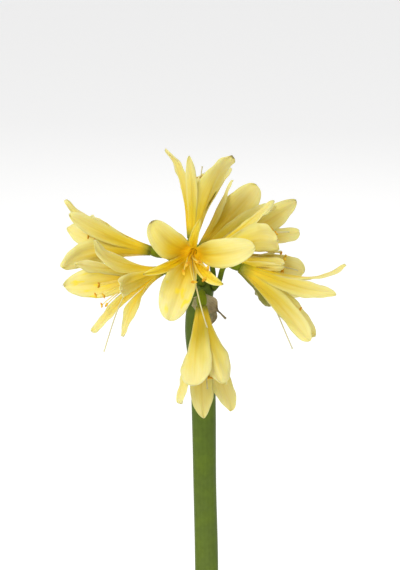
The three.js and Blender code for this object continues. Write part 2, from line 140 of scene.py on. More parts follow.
FLORETS: tuple[Floret, ...] = (
    Floret(
        name="top",
        place=(-0.0078, 0.0354, -0.008),
        foot=(112, -22),
        axis=(84, -6),
        stamens=Stamens(aim=(90, -3), length=0.048),
        style=Style(aim=(82, -6), length=0.05, droop=0.0),
        tepals=(
            Tepal(aim=(92, 16), length=0.06, curl=6, width=0.58),
            Tepal(aim=(63, 10), length=0.065, curl=34, width=1.05, tip=1.0),
            Tepal(aim=(61, -18), length=0.063, curl=8, width=0.9),
            Tepal(aim=(80, -34), length=0.06, curl=24, width=0.9),
            Tepal(aim=(98, -30), length=0.058, curl=16, width=0.9),
            Tepal(aim=(107, 6), length=0.066, curl=40, width=0.6, twist=-10),
        ),
    ),
    Floret(
        name="upper_right",
        place=(-0.002, 0.029, -0.024),
        foot=(72, -52),
        axis=(48, -42),
        stamens=Stamens(aim=(48, -42), length=0.046),
        style=Style(aim=(48, -44), length=0.05, droop=0.0),
        tepals=(
            Tepal(aim=(66, -30), length=0.068, curl=2, width=0.95, twist=20),
            Tepal(aim=(49, -22), length=0.07, curl=16, width=1.2),
            Tepal(aim=(34, -24), length=0.067, curl=6, width=0.9, tip=0.5),
            Tepal(aim=(24, -54), length=0.06, curl=16, width=1),
            Tepal(aim=(38, -72), length=0.06, curl=20, width=1),
            Tepal(aim=(64, -66), length=0.06, curl=12, width=0.9),
        ),
    ),
    Floret(
        name="high_right",
        place=(0.005, 0.027, -0.004),
        foot=(68, 2),
        axis=(20, 4),
        stamens=Stamens(aim=(8, 2), length=0.049),
        style=Style(aim=(14, 2), length=0.054, droop=0.004),
        tepals=(
            Tepal(aim=(39, 14), length=0.058, curl=6, width=0.62),
            Tepal(aim=(9, 30), length=0.052, curl=48, width=1.1, full=0.8),
            Tepal(aim=(-1, 0), length=0.05, curl=20, width=0.8),
            Tepal(aim=(12, -15), length=0.068, curl=10, width=0.85),
            Tepal(aim=(31, -19), length=0.077, curl=16, width=1.25, tip=0.6),
            Tepal(aim=(36, -10), length=0.058, curl=16, width=0.85),
        ),
    ),
    Floret(
        name="right",
        place=(0.017, 0.022, -0.014),
        foot=(38, -24),
        axis=(-10, 4),
        stamens=Stamens(aim=(-6, 12), length=0.042),
        style=Style(aim=(-9, 4), length=0.048, droop=0.002),
        tepals=(
            Tepal(aim=(12, -8), length=0.038, curl=30, width=0.8),
            Tepal(aim=(-5, 35), length=0.046, curl=34, width=0.5),
            Tepal(aim=(-10, 44), length=0.053, curl=14, width=0.5),
            Tepal(aim=(-24, -6), length=0.05, curl=14, width=0.9),
            Tepal(aim=(-18, -26), length=0.054, curl=10, width=1),
            Tepal(aim=(-9, -15), length=0.059, curl=8, width=1.1),
        ),
    ),
    Floret(
        name="low_right",
        place=(0.025, 0.016, 0.012),
        foot=(14, 18),
        axis=(-30, -4),
        stamens=Stamens(aim=(-30, -2), length=0.051),
        style=Style(aim=(-58, 6), length=0.064, droop=0.006),
        tepals=(
            Tepal(aim=(-16, 17), length=0.07, curl=16, width=0.95),
            Tepal(aim=(-47, 14), length=0.071, curl=8, width=0.8),
            # This tepal is painted a dark olive shade.
            Tepal(aim=(-54, -26), length=0.038, curl=4, width=1.15, twist=14, full=1, green=1.0),
            Tepal(aim=(-42, -15), length=0.075, curl=8, width=0.9),
            Tepal(aim=(-24, -36), length=0.06, curl=16, width=1),
            Tepal(aim=(2, -6), length=0.074, curl=44, width=0.7),
        ),
    ),
    Floret(
        name="hanging",
        place=(-0.001, -0.01, 0.021),
        foot=(-86, 66),
        axis=(-88, 8),
        stamens=Stamens(aim=(-88, 7), length=0.053),
        style=Style(aim=(-86, 4), length=0.054, droop=0.0),
        tepals=(
            Tepal(aim=(-72, 2), length=0.057, curl=2, width=0.9, full=0.4),
            Tepal(aim=(-74, 19), length=0.057, curl=2, width=1.0, twist=-8, full=0.1),
            Tepal(aim=(-95, 24), length=0.058, curl=2, width=1.55, twist=4, full=1),
            Tepal(aim=(-104, 2), length=0.069, curl=8, width=0.8, twist=30),
            Tepal(aim=(-89, -7), length=0.079, curl=2, width=1.25, full=0.3),
            Tepal(aim=(-74, -8), length=0.077, curl=2, width=0.85, full=0.4),
        ),
    ),
    Floret(
        name="front",
        place=(-0.006, 0.027, 0.027),
        foot=(100, 50),
        axis=(-120, 71),
        stamens=Stamens(aim=(-84, 68), length=0.044),
        style=Style(aim=(-80, 41), length=0.066, droop=-0.008),
        tepals=(
            Tepal(aim=(78, 70), length=0.055, curl=50, width=0.42, gold=1.0),
            Tepal(aim=(147, 59), length=0.061, curl=52, width=1, tip=1.0, gold=0.3),
            Tepal(aim=(-153, 50), length=0.057, curl=40, width=0.46, tip=0.6, gold=1.0),
            Tepal(aim=(-109, 35), length=0.060, curl=34, width=1.12, spots=1.0),
            Tepal(aim=(-51, 54), length=0.050, curl=78, width=0.5, tip=1.0, gold=0.8, full=0.6),
            Tepal(aim=(2, 56), length=0.068, curl=58, width=1),
        ),
    ),
    Floret(
        name="high_left",
        place=(-0.0357, 0.0273, 0.0),
        foot=(146, -2),
        axis=(168, -2),
        stamens=Stamens(aim=(168, -2), length=0.046),
        style=Style(aim=(176, -8), length=0.046, droop=0.004),
        tepals=(
            Tepal(aim=(149, 4), length=0.07, curl=30, width=0.8, twist=20),
            Tepal(aim=(151, -35), length=0.063, curl=16, width=0.8),
            Tepal(aim=(164, -21), length=0.069, curl=10, width=1.3),
            Tepal(aim=(192, -46), length=0.058, curl=10, width=0.8),
            Tepal(aim=(191, 11), length=0.064, curl=30, width=1.4, twist=-30),
            Tepal(aim=(156, 18), length=0.064, curl=8, width=0.62),
        ),
    ),
    Floret(
        name="low_left",
        place=(-0.0276, 0.0138, 0.012),
        foot=(168, 36),
        axis=(197, 14),
        stamens=Stamens(aim=(203, 16), length=0.05),
        style=Style(aim=(236, 24), length=0.07, droop=0.022),
        tepals=(
            Tepal(aim=(156, 30), length=0.056, curl=40, width=0.9, twist=30),
            Tepal(aim=(175, 9), length=0.061, curl=8, width=0.85),
            Tepal(aim=(189, -8), length=0.071, curl=10, width=1.55, spots=1.0),
            Tepal(aim=(222, -2), length=0.065, curl=10, width=0.55),
            Tepal(aim=(240, 24), length=0.057, curl=8, width=0.9, twist=40),
            Tepal(aim=(208, 58), length=0.054, curl=36, width=0.68),
        ),
    ),
)


# ---------------------------------------------------------------- lines and frames


def unit(v: np.ndarray) -> np.ndarray:
    """Return v, or each row of v, at length one."""
    return v / np.maximum(np.linalg.norm(v, axis=-1, keepdims=True), 1e-12)


def aimed(aim: Aim) -> np.ndarray:
    """Return the unit vector of an aim: an angle from x towards y, and one towards z, in degrees."""
    a, b = math.radians(aim[0]), math.radians(aim[1])
    return np.array([math.cos(b) * math.cos(a), math.cos(b) * math.sin(a), math.sin(b)])


def squared_to(v: np.ndarray, n: np.ndarray) -> np.ndarray:
    """Return what is left of v once its part along the unit vector n is gone, at length one."""
    return unit(v - n * np.sum(v * n, axis=-1, keepdims=True))


def smooth(low: float, high: float, s: np.ndarray) -> np.ndarray:
    """Return 0 below low and 1 above high, with an even S between them."""
    t = np.clip((s - low) / (high - low), 0.0, 1.0)
    return t * t * (3.0 - 2.0 * t)


def bezier(*points: np.ndarray) -> Line:
    """Return a quadratic or cubic Bezier line.

    Args:
        points: its control points.

    Returns:
        The line, as a function of a parameter from 0 to 1.
    """

    def line(t: np.ndarray) -> np.ndarray:
        """Return the line's points.

        Args:
            t: the parameters.

        Returns:
            The points, one a row.
        """
        degree = len(points) - 1
        total = np.zeros((len(t), 3))
        for k, point in enumerate(points):
            weight = math.comb(degree, k) * t**k * (1.0 - t) ** (degree - k)
            total += weight[:, None] * np.asarray(point, float)
        return total

    return line


def threaded(points: Sequence[np.ndarray]) -> Line:
    """Return a smooth line through points that are evenly spaced in its parameter.

    Args:
        points: the points.

    Returns:
        The line, as a function of a parameter from 0 to 1.
    """
    knots = np.array(points, float)
    knots = np.vstack([2 * knots[0] - knots[1], knots, 2 * knots[-1] - knots[-2]])

    def line(t: np.ndarray) -> np.ndarray:
        """Return the line's points.

        Args:
            t: the parameters.

        Returns:
            The points, one a row.
        """
        u = np.clip(t, 0.0, 1.0) * (len(knots) - 3)
        k = np.minimum(u.astype(int), len(knots) - 4)
        f = (u - k)[:, None]
        a, b, c, d = (knots[k + j] for j in range(4))
        return 0.5 * (
            2 * b + (c - a) * f + (2 * a - 5 * b + 4 * c - d) * f**2 + (3 * b - a - 3 * c + d) * f**3
        )

    return line


class Spine:
    """A line with a cross-section frame at every share of its length, turning as little as it can."""

    SAMPLES = 96
    FINE_SAMPLES = 500

    def __init__(self, line: Line, across: np.ndarray) -> None:
        """Measure the line and carry the frame along it.

        Args:
            line: the line, as a function of a parameter from 0 to 1.
            across: the direction of the cross-section's width at the start.
        """
        fine = np.linspace(0.0, 1.0, self.FINE_SAMPLES)
        points = line(fine)
        steps = np.linalg.norm(np.diff(points, axis=0), axis=1)
        travelled = np.concatenate([[0.0], np.cumsum(steps)])
        self.length = float(travelled[-1])
        self.shares = np.linspace(0.0, 1.0, self.SAMPLES + 1)
        parameter = np.interp(self.shares * self.length, travelled, fine)
        self.centres = line(parameter)
        self.alongs = unit(np.gradient(self.centres, axis=0))
        side = across
        sides = []
        for along in self.alongs:
            side = squared_to(side, along)
            sides.append(side)
        self.sides = np.array(sides)
        self.faces = np.cross(self.sides, self.alongs)

    def _at(self, table: np.ndarray, s: np.ndarray) -> np.ndarray:
        """Return a table's rows at the shares s of the length."""
        return np.stack([np.interp(s, self.shares, table[:, k]) for k in range(3)], axis=1)

    def centre(self, s: np.ndarray) -> np.ndarray:
        """Return the line's points at the shares s of its length."""
        return self._at(self.centres, s)

    def lay(
        self, s: np.ndarray, wide: np.ndarray, out: np.ndarray, turn: np.ndarray | float = 0.0
    ) -> np.ndarray:
        """Lay points along the spine.

        Args:
            s: each point's share of the length.
            wide: its offset along the cross-section's width.
            out: its offset along the cross-section's face.
            turn: how far the cross-section is turned there, in radians.

        Returns:
            The points, one a row.
        """
        x = wide * np.cos(turn) - out * np.sin(turn)
        z = wide * np.sin(turn) + out * np.cos(turn)
        sides, faces = unit(self._at(self.sides, s)), unit(self._at(self.faces, s))
        return self._at(self.centres, s) + x[:, None] * sides + z[:, None] * faces


def from_head(points: np.ndarray) -> np.ndarray:
    """Return points of the head's frame in the model's frame."""
    return points @ HEAD_AXES + HEAD_CENTRE


# ---------------------------------------------------------------- modelling steps


class Bench:
    """Modelling steps that several pieces share."""

    @staticmethod
    def clear() -> None:
        """Deselect every object."""
        if bpy.context.mode != "OBJECT":
            bpy.ops.object.mode_set(mode="OBJECT")
        bpy.ops.object.select_all(action="DESELECT")

    @staticmethod
    def hold(piece: bpy.types.Object) -> None:
        """Select one object alone and make it active.

        Args:
            piece: the object.
        """
        Bench.clear()
        piece.select_set(True)
        bpy.context.view_layer.objects.active = piece

    @staticmethod
    def pick(piece: bpy.types.Object, wanted: Callable[[Vector], bool]) -> int:
        """Select, in edit mode, the vertices whose place is wanted.

        Args:
            piece: the object being edited.
            wanted: says whether a vertex at a place is wanted.

        Returns:
            How many vertices are selected.
        """
        bpy.ops.mesh.select_mode(type="VERT")
        bpy.ops.mesh.select_all(action="DESELECT")
        shape = bmesh.from_edit_mesh(piece.data)
        for vert in shape.verts:
            vert.select = wanted(vert.co)
        shape.select_flush_mode()
        bmesh.update_edit_mesh(piece.data)
        return sum(vert.select for vert in shape.verts)

    @staticmethod
    def apply(piece: bpy.types.Object, kind: str, **settings: Any) -> None:
        """Give a piece a modifier and apply it.

        Args:
            piece: the object.
            kind: the modifier's type.
            settings: its properties.
        """
        Bench.hold(piece)
        modifier = piece.modifiers.new(kind.title(), kind)
        for name, value in settings.items():
            setattr(modifier, name, value)
        bpy.ops.object.modifier_apply(modifier=modifier.name)

    @staticmethod
    def settle(piece: bpy.types.Object, angle: Optional[float] = None) -> None:
        """Move a piece's place into its mesh and shade it smooth.

        Args:
            piece: the object.
            angle: the widest angle that is shaded smooth, in degrees, or None for all.
        """
        Bench.hold(piece)
        bpy.ops.object.transform_apply(location=True, rotation=True, scale=True)
        if angle is None:
            bpy.ops.object.shade_smooth()
        else:
            bpy.ops.object.shade_smooth_by_angle(angle=math.radians(angle))

    @staticmethod
    def recalculate(piece: bpy.types.Object) -> None:
        """Merge a piece's doubles and point its faces outwards.

        Args:
            piece: the object.
        """
        Bench.hold(piece)
        bpy.ops.object.mode_set(mode="EDIT")
        bpy.ops.mesh.select_all(action="SELECT")
        bpy.ops.mesh.remove_doubles(threshold=1e-6)
        bpy.ops.mesh.normals_make_consistent(inside=False)
        bpy.ops.object.mode_set(mode="OBJECT")

    @staticmethod
    def join(pieces: Sequence[bpy.types.Object], name: str) -> bpy.types.Object:
        """Join pieces into the first one.

        Args:
            pieces: the objects, which are gone afterwards but for the first.
            name: the name of the whole.

        Returns:
            The whole.
        """
        Bench.clear()
        for piece in pieces:
            piece.select_set(True)
        bpy.context.view_layer.objects.active = pieces[0]
        if len(pieces) > 1:
            bpy.ops.object.join()
        pieces[0].name = name
        pieces[0].data.name = name
        return pieces[0]

    @staticmethod
    def drop(piece: bpy.types.Object) -> None:
        """Remove an object that was only a pattern for others.

        Args:
            piece: the object.
        """
        mesh = piece.data
        bpy.data.objects.remove(piece)
        bpy.data.meshes.remove(mesh)

    @staticmethod
    def hand_in(piece: bpy.types.Object, node: str, slot: str) -> None:
        """Put a finished piece on the body in place of a CAD node.

        Args:
            piece: the object.
            node: the CAD node that it stands for.
            slot: a material slot of the record; it is not used.
        """
        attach(piece, "root")
        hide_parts(node)
        LOG.info("%s: %d faces", piece.name, len(piece.data.polygons))


@dataclass
class Blank:
    """A straight shell one unit long, which is copied and laid along a spine to make a limb.

    x is the share of the length, y the offset across as a share of the half width, and z the offset
    through the shell as a share of the half depth.
    """

    name: str
    rows: int
    columns: int
    crowding: float = 1.0
    shell: Optional[bpy.types.Object] = field(default=None, init=False)

    def model(self) -> bpy.types.Object:
        """Model the shell from a grid: crowd its rows towards the end, then give it two faces.

        Returns:
            The shell.
        """
        Bench.clear()
        bpy.ops.mesh.primitive_grid_add(
            x_subdivisions=self.rows, y_subdivisions=self.columns, size=2.0, location=(0.0, 0.0, 0.0)
        )
        shell = bpy.context.object
        shell.name = self.name
        bpy.ops.object.mode_set(mode="EDIT")
        for k in range(self.rows - 1, 0, -1):
            even = -1.0 + 2.0 * k / self.rows
            crowded = 1.0 - 2.0 * (1.0 - k / self.rows) ** self.crowding
            Bench.pick(shell, lambda co, x=even: abs(co.x - x) < 1e-4)
            bpy.ops.transform.translate(value=(crowded - even, 0.0, 0.0))
        bpy.ops.object.mode_set(mode="OBJECT")
        Bench.apply(shell, "SOLIDIFY", thickness=2.0, offset=0.0)
        Bench.hold(shell)
        bpy.ops.object.mode_set(mode="EDIT")
        bpy.ops.mesh.select_all(action="SELECT")
        bpy.ops.transform.translate(value=(1.0, 0.0, 0.0))
        bpy.ops.transform.resize(value=(0.5, 1.0, 1.0), center_override=(0.0, 0.0, 0.0))
        bpy.ops.mesh.normals_make_consistent(inside=False)
        bpy.ops.object.mode_set(mode="OBJECT")
        self.shell = shell
        return shell

    def points(self) -> np.ndarray:
        """Read the shell's vertices.

        Returns:
            Their places, one a row.
        """
        flat = np.zeros(len(self.shell.data.vertices) * 3, np.float32)
        self.shell.data.vertices.foreach_get("co", flat)
        return flat.reshape(-1, 3).astype(float)

    def copy(self, name: str, places: np.ndarray) -> bpy.types.Object:
        """Copy the shell, with its own mesh.

        Args:
            name: the copy's name.
            places: where its vertices go, one a row.

        Returns:
            The copy.
        """
        mesh = self.shell.data.copy()
        mesh.vertices.foreach_set("co", np.asarray(places, np.float32).ravel())
        mesh.update()
        piece = bpy.data.objects.new(name, mesh)
        bpy.context.scene.collection.objects.link(piece)
        return piece


class Rod(Blank):
    """A straight closed rod one unit long and one unit in radius, laid as a blank is."""

    def model(self) -> bpy.types.Object:
        """Model the rod from a cylinder lying along x, cut into even rings.

        Returns:
            The rod.
        """
        Bench.clear()
        bpy.ops.mesh.primitive_cylinder_add(
            vertices=self.columns, radius=1.0, depth=1.0, end_fill_type="TRIFAN", location=(0.0, 0.0, 0.5)
        )
        rod = bpy.context.object
        rod.name = self.name
        bpy.ops.object.transform_apply(location=True, rotation=False, scale=False)
        bpy.ops.object.mode_set(mode="EDIT")
        bpy.ops.mesh.select_mode(type="EDGE")
        bpy.ops.mesh.select_all(action="DESELECT")
        shape = bmesh.from_edit_mesh(rod.data)
        for edge in shape.edges:
            edge.select = abs(edge.verts[0].co.z - edge.verts[1].co.z) > 0.5
        bmesh.update_edit_mesh(rod.data)
        bpy.ops.mesh.subdivide(number_cuts=self.rows - 1)
        bpy.ops.mesh.select_all(action="SELECT")
        bpy.ops.transform.rotate(
            value=math.radians(-90), orient_axis="Y", center_override=(0.0, 0.0, 0.0)
        )
        bpy.ops.object.mode_set(mode="OBJECT")
        Bench.recalculate(rod)
        self.shell = rod
        return rod


def stamp(piece: bpy.types.Object, name: str, values: np.ndarray) -> None:
    """Give each vertex of a piece a vector that its finish reads.

    Args:
        piece: the object.
        name: the attribute's name.
        values: one row of three numbers a vertex, or one row for all of them.
    """
    count = len(piece.data.vertices)
    table = np.broadcast_to(np.asarray(values, np.float32), (count, 3))
    layer = piece.data.attributes.new(name, "FLOAT_VECTOR", "POINT")
    layer.data.foreach_set("vector", np.ascontiguousarray(table).ravel())


# ---------------------------------------------------------------- finishes

Colour = tuple[float, float, float]


class Signal:
    """A value in a finish's nodes that takes part in Python expressions."""

    def __init__(self, shader: "Shader", socket: bpy.types.NodeSocket) -> None:
        """Wrap an output socket of a shader."""
        self.shader = shader
        self.socket = socket

    def __add__(self, other: "Signal | float") -> "Signal":
        """Return self + other."""
        return self.shader.math("ADD", self, other)

    def __radd__(self, other: float) -> "Signal":
        """Return other + self."""
        return self.shader.math("ADD", other, self)

    def __sub__(self, other: "Signal | float") -> "Signal":
        """Return self - other."""
        return self.shader.math("SUBTRACT", self, other)

    def __rsub__(self, other: float) -> "Signal":
        """Return other - self."""
        return self.shader.math("SUBTRACT", other, self)

    def __mul__(self, other: "Signal | float") -> "Signal":
        """Return self * other."""
        return self.shader.math("MULTIPLY", self, other)

    def __rmul__(self, other: float) -> "Signal":
        """Return other * self."""
        return self.shader.math("MULTIPLY", other, self)

    def __truediv__(self, other: "Signal | float") -> "Signal":
        """Return self / other."""
        return self.shader.math("DIVIDE", self, other)

    def __pow__(self, other: float) -> "Signal":
        """Return self to the power other."""
        return self.shader.math("POWER", self, other)

    def __abs__(self) -> "Signal":
        """Return self without its sign."""
        return self.shader.math("ABSOLUTE", self)

    def sine(self) -> "Signal":
        """Return the sine of self."""
        return self.shader.math("SINE", self)

    def step(self, low: float, high: float) -> "Signal":
        """Return 0 below low and 1 above high, with an even S between them; low may be above high."""
        return self.shader.node(
            "ShaderNodeMapRange",
            {"interpolation_type": "SMOOTHSTEP"},
            {"Value": self, "From Min": min(low, high), "From Max": max(low, high),
             "To Min": float(low > high), "To Max": float(low <= high)},
            "Result",
        )


class Shader:
    """The nodes of one finish, ending in a Principled BSDF."""

    def __init__(self, name: str) -> None:
        """Make an empty material.

        Args:
            name: its name.
        """
        self.material = bpy.data.materials.new(name)
        self.material.use_nodes = True
        self.tree = self.material.node_tree
        self.tree.nodes.clear()

    def node(
        self,
        kind: str,
        settings: Optional[dict[str, Any]] = None,
        sockets: Optional[dict[str | int, Any]] = None,
        output: str | int = 0,
    ) -> Signal:
        """Add a node.

        Args:
            kind: the node's type.
            settings: its properties, set before its sockets; stops are those of a colour ramp.
            sockets: the values or signals of its input sockets.
            output: the output to return.

        Returns:
            The output, as a signal.
        """
        made = self.tree.nodes.new(kind)
        for name, value in (settings or {}).items():
            if name == "stops":
                ramp = made.color_ramp
                ramp.elements.remove(ramp.elements[1])
                ramp.elements[0].position = value[0][0]
                for position, _ in value[1:]:
                    ramp.elements.new(position)
                for element, (_, colour) in zip(ramp.elements, value):
                    element.color = (*colour, 1.0)
            else:
                setattr(made, name, value)
        for name, value in (sockets or {}).items():
            socket = made.inputs[name]
            if isinstance(value, Signal):
                self.tree.links.new(value.socket, socket)
            elif isinstance(value, tuple) and socket.type == "RGBA":
                socket.default_value = (*value, 1.0)
            else:
                socket.default_value = value
        return Signal(self, made.outputs[output])

    def math(self, operation: str, *values: Signal | float) -> Signal:
        """Add a Math node that works on these values."""
        return self.node("ShaderNodeMath", {"operation": operation}, dict(enumerate(values)))

    def blend(
        self, share: Signal | float, a: Signal | Colour, b: Signal | Colour, way: str = "MIX"
    ) -> Signal:
        """Mix colour b over colour a by a share, in one of the Mix node's ways."""
        settings = {"data_type": "RGBA", "blend_type": way, "clamp_factor": True}
        return self.node("ShaderNodeMix", settings, {0: share, 6: a, 7: b}, 2)

    def parts(self, vector: Signal) -> tuple[Signal, Signal, Signal]:
        """Return the three parts of a vector."""
        node = self.node("ShaderNodeSeparateXYZ", {}, {0: vector}).socket.node
        return tuple(Signal(self, node.outputs[k]) for k in range(3))

    def stamped(self, name: str) -> tuple[Signal, Signal, Signal]:
        """Return the three parts of a vector that was stamped on the piece."""
        settings = {"attribute_type": "GEOMETRY", "attribute_name": name}
        return self.parts(self.node("ShaderNodeAttribute", settings, {}, "Vector"))

    def place(self, scale: tuple[float, float, float] = (1.0, 1.0, 1.0)) -> Signal:
        """Return the place on the piece in metres, stretched by a scale."""
        where = self.node("ShaderNodeTexCoord", {}, {}, "Object")
        return self.node("ShaderNodeMapping", {}, {"Vector": where, "Scale": scale})

    def point(self, x: Signal | float, y: Signal | float, z: Signal | float) -> Signal:
        """Return the vector of three parts."""
        return self.node("ShaderNodeCombineXYZ", {}, {0: x, 1: y, 2: z})

    def noise(self, where: Signal, scale: float, detail: float = 3.0, rough: float = 0.5) -> Signal:
        """Return cloudy noise about 0.5."""
        sockets = {"Vector": where, "Scale": scale, "Detail": detail, "Roughness": rough}
        return self.node("ShaderNodeTexNoise", {}, sockets, 0)

    def bump(self, height: Signal, strength: float, distance: float) -> Signal:
        """Return the normals of a height."""
        return self.node(
            "ShaderNodeBump", {}, {"Height": height, "Strength": strength, "Distance": distance}
        )

    def finish(self, **sockets: Any) -> bpy.types.Material:
        """End the finish in a Principled BSDF.

        Args:
            sockets: its sockets by name, with _ for a space.

        Returns:
            The material.
        """
        named = {name.replace("_", " "): value for name, value in sockets.items()}
        skin = self.node("ShaderNodeBsdfPrincipled", {}, named)
        self.node_output(skin)
        return self.material

    def node_output(self, skin: Signal) -> None:
        """Send a surface to the material's output."""
        end = self.tree.nodes.new("ShaderNodeOutputMaterial")
        self.tree.links.new(skin.socket, end.inputs["Surface"])


@dataclass(frozen=True)
class PetalFinish:
    """Butter yellow, golden towards the throat, with fine veins along the blade, painted shade along the fold
    and on the outer faces, a dark olive painted shade on some tepals, and a painted glow in the throat.
    """

    tip: Colour = (0.74, 0.662, 0.26)
    blade: Colour = (0.74, 0.618, 0.125)
    belly: Colour = (0.75, 0.565, 0.032)
    gold: Colour = (0.82, 0.56, 0.010)
    # Partly the throat's own deep gold and partly painted light: brighter than the gold, to lift the shade in
    # the deep tube.
    throat: Colour = (0.98, 0.68, 0.012)
    # Painted glow: the inner faces near the throat give off light of this colour, standing in for light
    # shining through the tepals.
    glow: Colour = (0.95, 0.70, 0.02)
    glow_strength: float = 0.36
    # Painted shade: darker gold laid along the fold in the middle of each blade and on the outer faces.
    crease: Colour = (0.60, 0.41, 0.010)
    # Painted shade: a dark olive laid over most of the blade of a tepal that lies in shade.
    painted_olive_shade: Colour = (0.23, 0.225, 0.012)
    fresh: Colour = (0.17, 0.20, 0.008)
    mark: Colour = (0.10, 0.065, 0.012)
    spot: Colour = (0.82, 0.64, 0.004)

    def dress(self) -> bpy.types.Material:
        """Make the material.

        Returns:
            The material.
        """
        sh = Shader("petal")
        s, u, outer = sh.stamped("blade")
        seed, gold, _ = sh.stamped("trait")
        # tip and spots are the tepal's own marks; green is how far the dark olive painted shade covers it.
        tip, spots, green = sh.stamped("stain")
        edge = abs(u)
        where = sh.place()
        cloud = sh.noise(where, 90.0, 2.0)
        streak = sh.noise(sh.point(s * 1.6 + seed * 9.0, u * 3.2, seed * 5.0), 2.2, 2.0)
        travel = s + edge * edge * 0.14 + (cloud - 0.5) * 0.12 + (streak - 0.5) * 0.34
        travel = travel + seed * 0.06 - gold * 0.52
        stops = [
            # The throat's stop is partly painted light, brighter than its own gold to lift the shade in the
            # deep tube.
            (0.0, self.throat),
            (0.18, self.gold),
            (0.42, self.belly),
            (0.66, self.blade),
            (0.98, self.tip),
        ]
        colour = sh.node("ShaderNodeValToRGB", {"stops": stops}, {0: travel})
        wander = sh.noise(sh.point(s * 3.0, u * 2.0, seed * 7.0), 1.5, 2.0)
        vein = (u * 34.0 + (wander - 0.5) * 5.0).sine() * 0.5 + 0.5
        fine = (u * 97.0 + (wander - 0.5) * 9.0).sine() * 0.5 + 0.5
        lines = (vein**3.0) * 0.6 + fine * 0.4
        colour = sh.blend(lines * s.step(0.0, 0.35) * 0.13, colour, (0.80, 0.66, 0.20), "MULTIPLY")
        colour = sh.blend(edge.step(0.55, 1.0) * s.step(0.1, 0.5) * 0.35, colour, (0.76, 0.70, 0.32))
        # Painted shade: darker gold along the fold in the middle of the blade, where shade falls in the
        # crease.
        painted_fold_shade = edge.step(0.16, 0.0) * s.step(0.98, 0.50)
        colour = sh.blend(painted_fold_shade * 0.42, colour, self.crease)
        # Painted shade on the outer faces, darker towards the base and along the middle of the blade.
        shade = outer * s.step(0.90, 0.15) * (edge.step(0.75, 0.10) * 0.6 + 0.15)
        colour = sh.blend(shade * 0.38, colour, self.crease)
        colour = sh.blend(outer * (s + (cloud - 0.5) * 0.06).step(0.17, 0.0) * 0.95, colour, self.fresh)
        # Painted shade: tepals marked green take a dark olive over most of the blade.
        colour = sh.blend(green * s.step(1.40, 0.85), colour, self.painted_olive_shade)
        patch = sh.noise(sh.point(s * 3.2, u * 1.3, seed * 3.0 + 2.0), 1.9, 1.0).step(0.55, 0.70)
        patch = patch * s.step(0.42, 0.62) * s.step(0.97, 0.86) * spots
        colour = sh.blend(patch * 0.8, colour, self.spot)
        freckle = sh.noise(where, 520.0, 2.0).step(0.70, 0.80)
        colour = sh.blend(freckle * 0.06, colour, (0.55, 0.45, 0.10))
        colour = sh.blend((s + (cloud - 0.5) * 0.03).step(0.975, 1.0) * tip * 0.8, colour, self.mark)
        relief = lines * 0.6 + sh.noise(where, 700.0, 2.0) * 0.3 + cloud * 0.5
        return sh.finish(
            Base_Color=colour,
            Roughness=cloud * 0.16 + 0.40,
            Specular_IOR_Level=0.28,
            Subsurface_Weight=0.35,
            Subsurface_Radius=(0.0026, 0.0018, 0.0004),
            Subsurface_Scale=1.0,
            # Painted glow: the inner faces near the throat give off light, standing in for light shining
            # through the tepals.
            Emission_Color=sh.blend(s.step(0.40, 0.04) * (1.0 - outer), (0.0, 0.0, 0.0), self.glow),
            Emission_Strength=self.glow_strength,
            Normal=sh.bump(relief, 0.16, 0.0005),
        )


@dataclass(frozen=True)
class SoftPartFinish:
    """A smooth plant part with a gradient along it: a filament, an anther, a style or a stalk."""

    name: str
    start: Colour
    end: Colour
    turn: tuple[float, float] = (0.2, 0.9)
    roughness: float = 0.45
    grain: float = 300.0
    relief: float = 0.25
    ribs: float = 0.0
    glow: float = 0.1
    gloss: float = 0.25

    def dress(self) -> bpy.types.Material:
        """Make the material.

        Returns:
            The material.
        """
        sh = Shader(self.name)
        s, u, _ = sh.stamped("blade")
        where = sh.place()
        cloud = sh.noise(where, self.grain, 3.0, 0.6)
        blotch = sh.noise(where, 60.0, 2.0)
        travel = (s + (blotch - 0.5) * 0.3).step(*self.turn)
        colour = sh.blend(travel, self.start, self.end)
        colour = sh.blend(cloud.step(0.35, 0.75) * 0.30, colour, (0.62, 0.60, 0.50), "MULTIPLY")
        colour = sh.blend(blotch.step(0.40, 0.75) * 0.22, colour, (1.0, 0.95, 0.55), "OVERLAY")
        height = cloud
        if self.ribs:
            rib = (u * self.ribs).sine() * 0.5 + 0.5
            colour = sh.blend(rib * 0.09, colour, (0.55, 0.62, 0.40), "MULTIPLY")
            height = cloud * 0.6 + rib * 0.4
        return sh.finish(
            Base_Color=colour,
            Roughness=blotch * 0.2 + (self.roughness - 0.1),
            Specular_IOR_Level=self.gloss,
            Subsurface_Weight=self.glow,
            Subsurface_Radius=(0.0015, 0.001, 0.0004),
            Subsurface_Scale=1.0,
            Normal=sh.bump(height, self.relief, 0.0004),
        )


@dataclass(frozen=True)
class BractFinish:
    """Dry, papery bract: brown and grey green with darker veins."""

    pale: Colour = (0.44, 0.37, 0.22)
    dark: Colour = (0.20, 0.155, 0.085)
    green: Colour = (0.24, 0.26, 0.10)

    def dress(self) -> bpy.types.Material:
        """Make the material.

        Returns:
            The material.
        """
        sh = Shader("bract")
        s, u, _ = sh.stamped("blade")
        where = sh.place()
        blotch = sh.noise(where, 120.0, 4.0, 0.6)
        vein = ((u * 26.0 + (sh.noise(where, 60.0, 2.0) - 0.5) * 6.0).sine() * 0.5 + 0.5) ** 2.0
        colour = sh.blend(blotch.step(0.35, 0.7), self.pale, self.dark)
        colour = sh.blend(s.step(0.55, 0.0) * 0.6, colour, self.green)
        colour = sh.blend(vein * 0.22, colour, self.dark)
        colour = sh.blend(abs(u).step(0.75, 1.0) * 0.4, colour, self.pale)
        return sh.finish(
            Base_Color=colour,
            Roughness=blotch * 0.2 + 0.62,
            Specular_IOR_Level=0.25,
            Subsurface_Weight=0.20,
            Subsurface_Radius=(0.0014, 0.001, 0.0005),
            Subsurface_Scale=1.0,
            Normal=sh.bump(vein * 0.4 + blotch * 0.8, 0.45, 0.0006),
        )


